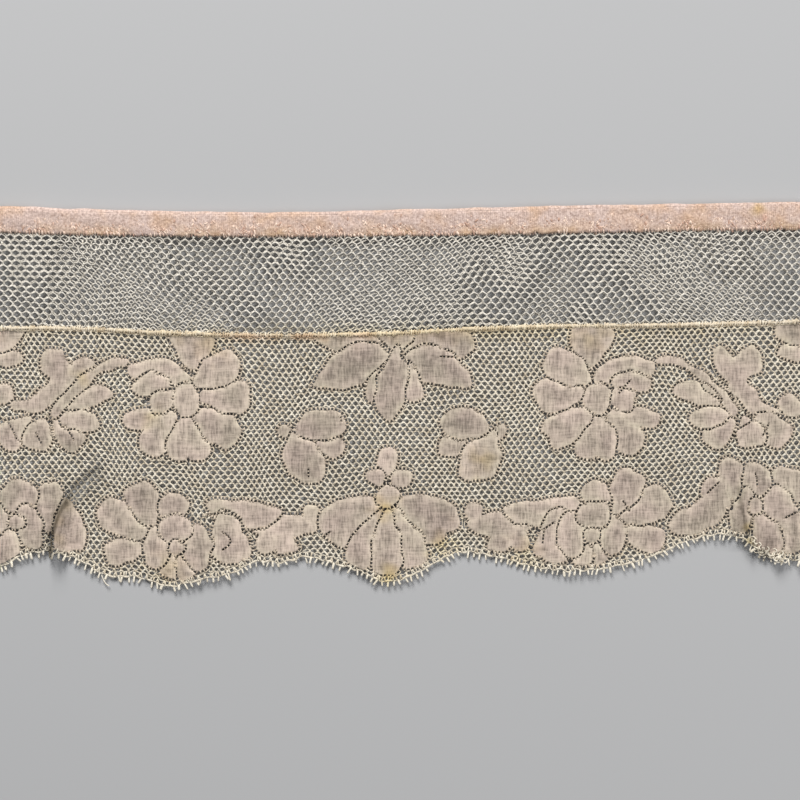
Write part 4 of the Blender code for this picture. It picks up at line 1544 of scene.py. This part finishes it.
    def rims(self) -> bpy.types.Object:
        """Make the thread that runs round each motif, outside its row of pinholes."""
        threads = Threads(self.drawing, 43)
        draw = np.random.default_rng(44)
        for outline in self.drawing.outlines:
            points, out = even_steps(outline, 0.5, closed=True)
            line = points + self.rim * out
            off = self.drawing.distances(line).min(0)
            keep = (off > self.rim - 0.05) & (self.inside_lace(line) > 0.15)
            for group in unbroken(keep):
                if len(group) < 4:
                    continue
                flat = line[group]
                wide = self.rim_radius * (1.0 + 0.16 * draw.standard_normal(len(flat)))
                threads.add_one(flat, self.drawing.height(flat) + self.lift, wide, Tone(0.45, 0.08))
        return threads.piece("motif_rims")


@dataclass
class ScallopedEdge:
    """The threads along the scalloped edge and the picot loops that stand out of it.

    Attributes:
        drawing: The shared drawing.
        picot_pitch: Distance from one picot to the next in mm.
        picot_radius: Radius of a picot's thread in mm.
        inner_row: Distance from the edge to the second thread in mm.
        stagger: Spacing of the short bars between the two threads in mm.
        slant: How far each bar leans, to either side in turn, in mm.
        bar_radii: Radius of a bar at its start, its middle and its end in mm.
        loop_half: Half the width of a picot in mm.
        loop_radius: Radius of a picot's thread as a share of picot_radius.
        missing: Share of the picots that are worn away.
        rolled: From where to where along the lace its edge is crumpled, in mm.
        curls: How many curls the crumpled stretch has.
        curl_radius: Radius of the thread of the curls and of the loose end in mm.
    """

    drawing: LaceDrawing
    picot_pitch: float = 1.15
    picot_radius: float = 0.135
    inner_row: float = 0.90
    stagger: float = 0.62
    slant: float = 0.26
    bar_radii: tuple[float, float, float] = (0.22, 0.15, 0.20)
    loop_half: Spread = Spread(0.09, 0.03, 0.04, 0.16)
    loop_radius: Spread = Spread(1.0, 0.20, 0.6, 1.5)
    missing: float = 0.06
    rolled: tuple[float, float] = (69.8, 77.0)
    curls: int = 30
    curl_radius: float = 0.12

    def line(self, spacing: float) -> tuple[np.ndarray, np.ndarray]:
        """Even points along the edge from left to right, with the outward direction at each."""
        x = self.drawing.along(1600)
        return even_steps(np.column_stack([x, self.drawing.edge(x)]), spacing, closed=False)

    def long_thread(self, threads: Threads, inset: float, radius: float, sway: float, seed: int) -> None:
        """Add one thread along the edge, which sways from side to side and swells here and there.

        Args:
            threads: Where it is added.
            inset: Its distance inside the edge in mm.
            radius: Its radius in mm.
            sway: How far it sways in mm.
            seed: Seed of its unevenness.
        """
        points, out = self.line(0.4)
        flat = points - (inset + sway * Ripple(seed, 1.1, 3.6)(points)[:, None]) * out
        wide = radius * np.clip(1.0 + 0.26 * Ripple(seed + 1, 0.8, 2.6)(points), 0.45, 1.7)
        threads.add_one(flat, self.drawing.height(flat), wide, Tone(0.62, 0.0))

    def build(self) -> bpy.types.Object:
        """Make the edge threads, the bars between them and the picots as one piece."""
        threads = Threads(self.drawing, 51, sides=5)
        draw = np.random.default_rng(52)
        self.long_thread(threads, 0.02, 0.18, 0.11, 53)
        self.long_thread(threads, self.inner_row, 0.12, 0.15, 55)
        points, out = self.line(self.stagger)
        side = onward(out)
        points = points + draw.normal(0.0, 0.10, (len(points), 1)) * side
        zigzag = np.where(np.arange(len(points)) % 2, self.slant, -self.slant)
        zigzag = zigzag + draw.normal(0.0, 0.10, len(points))
        feet = points - self.inner_row * out + zigzag[:, None] * side
        flat = three_points(np.stack([points, feet], axis=1))
        wide = np.array(self.bar_radii) * draw.normal(1.0, 0.12, (len(points), 1))
        threads.add(raised(flat, self.drawing.height(flat)), wide, Tone(0.55, 0.1))
        self.picots(threads, draw)
        self.tangle(threads, draw)
        self.loose_end(threads)
        return threads.piece("scalloped_edge")

    def picots(self, threads: Threads, draw: np.random.Generator) -> None:
        """Add the loops: each runs out along one leg, round its tip and back along the other.

        A loop's width follows a sine that is full near the tip; it leans and curls a little.
        """
        points, out = self.line(self.picot_pitch)
        count = len(points)
        side = onward(out)
        points = points + draw.normal(0.0, 0.16, (count, 1)) * side
        lean = draw.normal(0.0, 0.22, (count, 1))
        length = Spread(self.drawing.picot_length - 0.04, 0.20, 0.5, 1.4).sizes(draw, count)
        half = self.loop_half.sizes(draw, count)
        way = np.linspace(0.0, 1.0, 11)[None, :]
        reach = np.sin(math.pi * way) ** 0.55 * length - 0.1
        across = half * np.cos(math.pi * way) * (0.35 + 0.65 * np.sin(math.pi * way) ** 0.7) * 1.25
        across = across + lean * reach
        flat = points[:, None] + reach[..., None] * out[:, None] + across[..., None] * side[:, None]
        paths = raised(flat, self.drawing.height(flat) + 0.05 * draw.standard_normal((count, 1)))
        radii = self.picot_radius * self.loop_radius.sizes(draw, count) * np.ones((1, way.size))
        in_length = np.abs(points[:, 0]) < self.drawing.half_length - 0.3
        kept = in_length & (draw.random(count) > self.missing)
        threads.add(paths[kept], radii[kept], Tone(0.90, 0.10))

    def tangle(self, threads: Threads, draw: np.random.Generator) -> None:
        """Add the curls where the edge is rolled up near its right end: most of a turn each."""
        way = np.linspace(0.0, 1.0, 13)
        for start in draw.uniform(*self.rolled, self.curls):
            foot = np.array([start, float(self.drawing.edge(start)) + draw.uniform(-0.4, 1.5)])
            turn = draw.uniform(0.0, 2.0 * math.pi) + 5.2 * way
            size = draw.uniform(0.28, 0.62)
            flat = foot + size * np.column_stack([np.cos(turn) * draw.uniform(0.6, 1.3), np.sin(turn)])
            level = self.drawing.height(flat) + 0.25 + 0.3 * np.sin(5.0 * way + start)
            threads.add_one(flat, level, np.full(len(way), self.curl_radius), Tone(0.85, 0.12))

    def loose_end(self, threads: Threads) -> None:
        """Add the one loose thread end that hangs out of the edge near its left end."""
        way = np.linspace(0.0, 1.0, 9)
        flat = np.column_stack([-59.6 + 1.0 * way + 0.5 * way ** 2, -35.0 - 2.1 * np.sin(1.5 * way)])
        wide = np.full(len(way), self.curl_radius)
        threads.add_one(flat, self.drawing.height(flat), wide, Tone(0.8, 0.0))


@dataclass
class NetStrip:
    """The doubled net: two layers of hexagonal net that meet in a fold at the seam.

    Both layers have the same mesh. From each clean place to the next the back one slips by one hole, along
    either slant in turn. So its threads fall on the front's at the clean places and between them elsewhere.

    Attributes:
        drawing: The shared drawing.
        mesh: The mesh of both layers.
        front_height: Height of the front layer above the floor in mm.
        back_height: Height of the back layer in mm.
        fold_height: Height where both meet at the seam in mm.
        tape_height: Height at which the back layer enters the tape in mm.
        fold_run: Distance from the seam over which the layers part in mm.
        tape_run: Distance from the tape over which they draw together in mm.
        overlap: How far both go into the tape in mm.
        shortest: Shortest thread that is kept in mm.
        clean_places: Where along the strip the layers fall on each other, at mid height, in mm.
    """

    drawing: LaceDrawing
    mesh: Lattice = field(default_factory=lambda: Lattice(
        pitch=1.72, row=1.03, bar=0.45, slim=0.15, stout=0.205, wobble=0.20, jitter=0.035, seed=71,
        bar_share=0.95, uneven=0.06))
    front_height: float = 1.20
    back_height: float = 0.90
    fold_height: float = 0.80
    tape_height: float = 1.05
    fold_run: float = 2.0
    tape_run: float = 2.5
    overlap: float = 1.2
    shortest: float = 0.12
    clean_places: tuple[float, ...] = (-132.0, -82.0, -30.0, 33.0, 74.0, 122.0)

    def room(self, points: np.ndarray) -> np.ndarray:
        """Distance inside the strip: above the seam and a little way into the tape."""
        above_seam = points[:, 1] - self.drawing.line("seam", points[:, 0]) - 0.1
        below_tape = self.drawing.line("tape_foot", points[:, 0]) + self.overlap - points[:, 1]
        in_length = self.drawing.half_length - np.abs(points[:, 0])
        return np.minimum.reduce([above_seam, below_tape, in_length])

    def level(self, flat: np.ndarray, height: float) -> np.ndarray:
        """Height of a layer: it leaves the fold steeply and lies level; the back one rises to the tape."""
        x, y = flat[..., 0], flat[..., 1]
        from_seam = np.clip((y - self.drawing.line("seam", x)) / self.fold_run, 0.0, 1.0)
        from_tape = np.clip((self.drawing.line("tape_foot", x) - y) / self.tape_run, 0.0, 1.0)
        open_share = np.sqrt(from_seam) * from_tape ** 0.7
        in_tape = self.tape_height + 0.5 * (height - self.back_height)
        ends = np.where(from_seam < 1.0, self.fold_height, in_tape)
        return ends + (height - ends) * open_share + 0.06 * Ripple(61, 9.0, 30.0)(flat)

    def slip(self, points: np.ndarray) -> np.ndarray:
        """How far the back layer lies out of step with the front one, both ways."""
        rise = points[..., 1] - 24.0
        lean = points[..., 0] + 0.5 * rise + 2.5 * Ripple(73, 9.0, 30.0)(points)
        count = np.interp(lean, self.clean_places, np.arange(len(self.clean_places)))
        whole = np.floor(count)
        part = count - whole
        across = 0.5 * self.mesh.pitch * count
        upward = self.mesh.row * np.where(whole % 2.0 > 0.5, 1.0 + part, 2.0 - part)
        tilt = 0.022 * rise + 0.10 * Ripple(77, 12.0, 34.0)(points)
        return np.stack([across - 0.5 * self.mesh.pitch * tilt, upward + self.mesh.row * tilt], axis=-1)

    def layer(self, name: str, height: float, out_of_step: float, tone: Tone) -> bpy.types.Object:
        """Make one layer of the net.

        Args:
            name: The piece's name.
            height: Its height above the floor in mm.
            out_of_step: 1 for the layer that slips, 0 for the other.
            tone: How bright its threads are.

        Returns:
            The layer's piece.
        """
        ends, upright = self.mesh.segments(self.drawing.half_length + 6.0, 32.0)
        ends = self.mesh.bent(ends)
        rise = self.drawing.line("tape_foot", ends[..., 0]) + 4.0 - 2.0 * self.mesh.row * out_of_step
        ends[..., 1] += rise
        ends = ends + out_of_step * (self.slip(ends) + 0.05 * Ripple(75, 3.0, 9.0)(ends)[..., None])
        ends, which = clipped(ends, self.room, self.shortest)
        flat = three_points(ends)
        radii = self.mesh.radii(upright[which], np.random.default_rng(self.mesh.seed + 3))
        threads = Threads(self.drawing, self.mesh.seed + 4)
        threads.add(raised(flat, self.level(flat, height)), radii, tone)
        return threads.piece(name)

    def build(self) -> list[bpy.types.Object]:
        """Make the front and the back layer; the back one's higher tone is painted light that evens out the
        shadow the front layer casts on it.
        """
        return [
            self.layer("net_front", self.front_height, 0.0, Tone(0.62, 0.08)),
            self.layer("net_back", self.back_height, 1.0, Tone(0.80, 0.08)),
        ]


@dataclass
class HeadingTape:
    """The folded tape: two leaves that meet in a fold along the top, and its overcast stitches.

    Attributes:
        drawing: The shared drawing.
        leaf: Thickness of a leaf in mm.
        slot: Room between the leaves in mm, where the net's raw edges lie.
        station: Spacing of the sections along the tape in mm.
        hem_pitch: Distance from one hem stitch to the next in mm.
        hem_high: How far a hem stitch reaches up the tape's face in mm.
        hem_low: How far it reaches below the tape in mm.
        hem_radius: Radius of its thread in mm.
        darts: How many short stitches show above the hem.
        face_rows: Points of the section along each outer face.
        turn_rows: Points of the section round the outside of the fold.
    """

    drawing: LaceDrawing
    leaf: float = 0.55
    slot: float = 0.75
    station: float = 0.5
    hem_pitch: float = 0.62
    hem_high: Spread = Spread(0.60, 0.30, 0.2, 1.4)
    hem_low: Spread = Spread(0.16, 0.14, 0.0, 0.5)
    hem_radius: Spread = Spread(0.19, 0.04, 0.11, 0.28)
    darts: int = 1100
    face_rows: int = 12
    turn_rows: int = 11

    @property
    def thickness(self) -> float:
        """Thickness of the folded tape in mm."""
        return 2.0 * self.leaf + self.slot

    def section(self) -> np.ndarray:
        """Rows of (way from the fold, share of the depth, height) round the folded section."""
        outer = self.leaf + 0.5 * self.slot
        inner = 0.5 * self.slot
        turn = np.radians(np.linspace(-90.0, 90.0, self.turn_rows))
        share = np.linspace(1.0, 0.12, self.face_rows)
        rows = [(0.0, s, 0.0) for s in share]
        rows += [(outer - outer * math.cos(t), 0.0, outer + outer * math.sin(t)) for t in turn]
        rows += [(0.0, s, 2.0 * outer) for s in share[::-1]]
        rows += [(0.0, 1.0, outer + inner), (0.0, 0.5, outer + inner)]
        rows += [(outer - inner * math.cos(t), 0.0, outer + inner * math.sin(t)) for t in turn[::-2]]
        rows += [(0.0, 0.5, outer - inner), (0.0, 1.0, outer - inner)]
        return np.array(rows)

    @staticmethod
    def squeeze(share: np.ndarray) -> np.ndarray:
        """How far the tape is pressed at a share of its depth: a little at its fold, more at its foot."""
        return 1.0 - 0.10 * (1.0 - share) - 0.16 * share ** 3

    def cloth(self) -> bpy.types.Object:
        """Carry the section along the tape; its fold, foot and faces waver a little."""
        x = self.drawing.along(int(2.0 * self.drawing.half_length / self.station))
        section = self.section()
        line = np.column_stack([x, np.zeros_like(x)])
        top = self.drawing.line("tape_top", x) + 0.05 * Ripple(91, 3.0, 12.0)(line) - 0.05
        foot = self.drawing.line("tape_foot", x) + 0.10 * Ripple(92, 1.2, 5.0)(line)
        y = top[:, None] - section[None, :, 0] - (top - foot)[:, None] * section[None, :, 1]
        flat = np.stack([np.broadcast_to(x[:, None], y.shape), y], axis=2)
        share = section[None, :, 1]
        squeeze = self.squeeze(share) + 0.03 * Ripple(93, 2.0, 9.0)(flat)
        z = np.maximum(section[None, :, 2] * squeeze, 0.0)
        points = raised(flat, z).reshape(-1, 3)
        ring = len(section)
        index = np.arange(len(x) * ring).reshape(len(x), ring)
        here, there = index[:-1], index[1:]
        walls = np.stack([here, there, np.roll(there, -1, 1), np.roll(here, -1, 1)], axis=2).reshape(-1, 4)
        caps = self.caps(ring)
        first, last = caps, caps[:, ::-1] + (len(x) - 1) * ring
        from_foot = points[:, 1] - self.drawing.line("tape_foot", points[:, 0])
        soiled = 0.35 * np.exp(-(from_foot / 1.6) ** 2)
        soiled *= np.clip(0.6 + Ripple(94, 5.0, 22.0)(points), 0.0, 1.0)
        marks = self.drawing.marks(points)
        marks["yellow"] = np.clip(marks["yellow"] + soiled, 0.0, 1.0)
        return make_piece("folded_tape", self.drawing.place(points), [walls, first, last], marks)

    def caps(self, ring: int) -> np.ndarray:
        """Quads that close one end of the section, from its outer line to its inner line."""
        outer_rows = 2 * self.face_rows + self.turn_rows
        outer = np.linspace(0, outer_rows - 1, ring - outer_rows).round().astype(int)
        inner = np.arange(ring - 1, outer_rows - 1, -1)
        return np.column_stack([outer[:-1], outer[1:], inner[1:], inner[:-1]])

    def stitches(self) -> bpy.types.Object:
        """Make the overcast stitches: a close row over the lower edge and short uneven ones above it."""
        threads = Threads(self.drawing, 95, sides=5)
        draw = np.random.default_rng(96)
        reach = self.drawing.half_length - 0.6
        self.hem(threads, draw, reach)
        self.short_stitches(threads, draw, reach)
        return threads.piece("overcast_stitches")

    def hem(self, threads: Threads, draw: np.random.Generator, reach: float) -> None:
        """Add the close row of stitches, from the tape's face down over its lower edge."""
        face = 0.84 * self.thickness
        count = int(2.0 * reach / self.hem_pitch)
        x = np.linspace(-reach, reach, count) + draw.normal(0.0, 0.10, count)
        foot = self.drawing.line("tape_foot", x)[:, None]
        high = foot + self.hem_high.sizes(draw, count)
        low = foot - self.hem_low.sizes(draw, count)
        way = np.linspace(0.0, 1.0, 6)
        path_x = x[:, None] + draw.normal(0.05, 0.18, (count, 1)) * (way - 0.5)
        path_y = high + (low - high) * way
        over = np.clip((foot - path_y) / 0.35 + 0.4, 0.0, 1.0)
        z = face - 0.06 + (1.2 - face) * over
        z[:, 0] -= 0.12
        radii = self.hem_radius.sizes(draw, count) * np.array([0.6, 0.9, 1.0, 1.0, 1.0, 0.8])
        threads.add(np.stack([path_x, path_y, z], axis=2), radii, Tone(0.55, 0.25))

    def short_stitches(self, threads: Threads, draw: np.random.Generator, reach: float) -> None:
        """Add the short uneven stitches on the tape's face, most of them near its lower edge."""
        start = draw.uniform(-reach, reach, self.darts)
        rise = self.drawing.line("tape_foot", start) + 0.5 + np.abs(draw.normal(0.0, 1.15, self.darts))
        rise = np.minimum(rise, self.drawing.line("tape_top", start) - 1.0)
        turn = math.radians(90.0) + draw.normal(0.0, 0.55, self.darts)
        length = draw.uniform(0.4, 0.9, self.darts)
        way = np.linspace(-0.5, 0.5, 4)
        path_x = start[:, None] + way * (length * np.cos(turn))[:, None]
        path_y = rise[:, None] + way * (length * np.sin(turn))[:, None]
        share = (self.drawing.line("tape_top", path_x) - path_y) / 5.0
        level = self.thickness * self.squeeze(share)
        z = level - 0.07 - 0.10 * np.array([1.0, 0.0, 0.0, 1.0])
        radii = draw.uniform(0.10, 0.20, (self.darts, 1)) * np.ones((1, 4))
        threads.add(np.stack([path_x, path_y, z], axis=2), radii, Tone(0.5, 0.35))


@dataclass
class WhippedSeam:
    """The seam: the net's fold and the lace's top edge rolled together and whipped over closely.

    Attributes:
        drawing: The shared drawing.
        roll: Radius of the rolled edge in mm.
        height: Height of the roll's middle in mm.
        pitch: Distance from one whip stitch to the next in mm.
        whip_radius: Radius of a whip stitch's thread in mm.
    """

    drawing: LaceDrawing
    roll: float = 0.36
    height: float = 0.78
    pitch: float = 0.50
    whip_radius: Spread = Spread(0.13, 0.035, 0.07, 0.21)

    def build(self) -> bpy.types.Object:
        """Make the roll, the foot thread below it and the whip stitches over it."""
        threads = Threads(self.drawing, 101, sides=7)
        draw = np.random.default_rng(102)
        half = self.drawing.half_length
        x = self.drawing.along(420)
        line = np.column_stack([x, np.zeros_like(x)])
        for drop, radius, seed in ((0.0, self.roll, 103), (0.50, 0.17, 105)):
            y = self.drawing.line("seam", x) - drop + 0.06 * Ripple(seed, 1.5, 7.0)(line)
            level = self.height - 0.1 * (drop > 0.0) + 0.03 * Ripple(seed + 1, 2.0, 9.0)(line)
            wide = radius * (1.0 + 0.13 * Ripple(seed + 1, 0.9, 4.0)(line))
            threads.add_one(np.column_stack([x, y]), level, wide, Tone(0.5, 0.0))
        count = int(2.0 * half / self.pitch) - 2
        start = np.linspace(-half + 0.5, half - 0.5, count) + draw.normal(0.0, 0.09, count)
        turn = np.radians(np.linspace(-190.0, 10.0, 7))
        reach = self.roll + Spread(0.0, 0.05, -0.08, 0.14).sizes(draw, count)
        path_x = start[:, None] + draw.normal(0.12, 0.12, (count, 1)) * np.linspace(-1.0, 1.0, len(turn))
        path_y = self.drawing.line("seam", path_x) + reach * np.cos(turn) * 1.3
        z = self.height - reach * np.sin(turn) * 0.95
        wide = self.whip_radius.sizes(draw, count) * np.ones((1, len(turn)))
        threads.add(np.stack([path_x, path_y, z], axis=2), wide, Tone(0.55, 0.16))
        return threads.piece("whipped_seam")


@dataclass
class Studio:
    """The plain pale floor, the soft lights and the camera straight above.

    Attributes:
        drawing: The shared drawing.
        view_width: Width of the photo's frame at the cloth in mm.
        lens: Focal length in mm.
        sensor: Width of the camera's sensor in mm.
        floor_reach: Half the side of the floor in metres.
        floor_drop: How far the floor lies under the cloth in metres.
        lamp_shade: sRGB hex of both lights.
        room_shade: sRGB hex of the surroundings.
        room_strength: How bright the surroundings are.
    """

    drawing: LaceDrawing
    view_width: float = 160.0
    lens: float = 120.0
    sensor: float = 36.0
    floor_reach: float = 2.0
    floor_drop: float = 0.00002
    lamp_shade: str = "FFFCF8"
    room_shade: str = "E6E8EC"
    room_strength: float = 0.20

    def floor(self) -> None:
        """Lay the floor just under the cloth."""
        corners = self.floor_reach * np.array([(-1.0, -1.0), (1.0, -1.0), (1.0, 1.0), (-1.0, 1.0)])
        points = raised(corners, np.full(4, -self.floor_drop))
        floor = make_piece("floor", points, [np.array([[0, 1, 2, 3]])])
        floor.data.materials.append(PaleFloor().material())

    def light(self, name: str, place: tuple[float, float, float], size: float, power: float) -> None:
        """Hang a square area light that faces the cloth.

        Args:
            name: The light's name.
            place: Where it hangs, in metres.
            size: Its side in metres.
            power: Its power in watts.
        """
        lamp = bpy.data.lights.new(name, "AREA")
        lamp.size = size
        lamp.energy = power
        lamp.color = linear(self.lamp_shade)[:3]
        holder = bpy.data.objects.new(name, lamp)
        x, y, z = place
        flat = math.hypot(x, y)
        holder.location = place
        holder.rotation_euler = (math.atan2(flat, z), 0.0, math.atan2(y, x) + 0.5 * math.pi)
        bpy.context.scene.collection.objects.link(holder)

    def room(self) -> None:
        """Set the soft light of the surroundings, and show colours as they are."""
        world = bpy.data.worlds.new("soft_room")
        world.use_nodes = True
        background = world.node_tree.nodes["Background"]
        background.inputs["Color"].default_value = linear(self.room_shade)
        background.inputs["Strength"].default_value = self.room_strength
        bpy.context.scene.world = world
        bpy.context.scene.view_settings.view_transform = "Standard"

    def camera(self) -> None:
        """Hang the camera straight above the drawing's middle, so that the photo's frame fills its view."""
        lens = bpy.data.cameras.new("photo_view")
        lens.lens = self.lens
        lens.sensor_width = self.sensor
        lens.clip_start = 0.01
        lens.clip_end = 20.0
        camera = bpy.data.objects.new("photo_view", lens)
        distance = self.view_width * MM * self.lens / self.sensor
        centre = self.drawing.place(np.zeros(3))
        camera.location = (float(centre[0]), float(centre[1]), distance)
        bpy.context.scene.collection.objects.link(camera)
        bpy.context.scene.camera = camera

    def build(self) -> None:
        """Set up the floor, the lights, the surroundings and the camera."""
        self.floor()
        self.light("window_light", (-0.211, 0.787, 0.588), 0.45, 12.4)
        self.light("side_light", (0.913, -0.161, 0.375), 0.35, 5.6)
        self.room()
        self.camera()


def settle(piece: bpy.types.Object, material: bpy.types.Material) -> bpy.types.Object:
    """Give a piece its finish and its body, and log it."""
    piece.data.materials.append(material)
    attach(piece, "root")
    report(piece)
    return piece


def main() -> None:
    """Build the edging piece by piece, then the studio."""
    logging.basicConfig(level=logging.INFO, format="%(name)s %(message)s")
    drawing = LaceDrawing()
    lace_thread = TwistedThread("lace_linen_thread", "F1EADA", "C6B8A0").material()
    net_thread = TwistedThread("net_cotton_thread", "EFEAE0", "A39D92").material()
    pinhole_thread = TwistedThread("pinhole_linen_thread", "DCCEBB", "A89A89").material()
    hem_thread = TwistedThread("hem_sewing_thread", "F3DCCB", "BF9D8B").material()
    seam_thread = TwistedThread("seam_sewing_thread", "F5EBD8", "CBBA9F").material()

    ground = [settle(piece, lace_thread) for piece in LaceGround(drawing).build()]
    stitch = ClothStitch(drawing)
    petals = settle(stitch.cloth(), ClothStitchCloth().material())
    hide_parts("lace_border")
    trims = [
        settle(stitch.bars(), pinhole_thread),
        settle(stitch.rims(), lace_thread),
        settle(ScallopedEdge(drawing).build(), lace_thread),
    ]

    front, back = (settle(piece, net_thread) for piece in NetStrip(drawing).build())
    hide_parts("net_strip")

    heading = HeadingTape(drawing)
    tape = settle(heading.cloth(), PlainWovenTape().material())
    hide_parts("heading_tape")
    stitches = settle(heading.stitches(), hem_thread)
    seam = settle(WhippedSeam(drawing).build(), seam_thread)

    Studio(drawing).build()


if __name__ == "__main__":
    main()
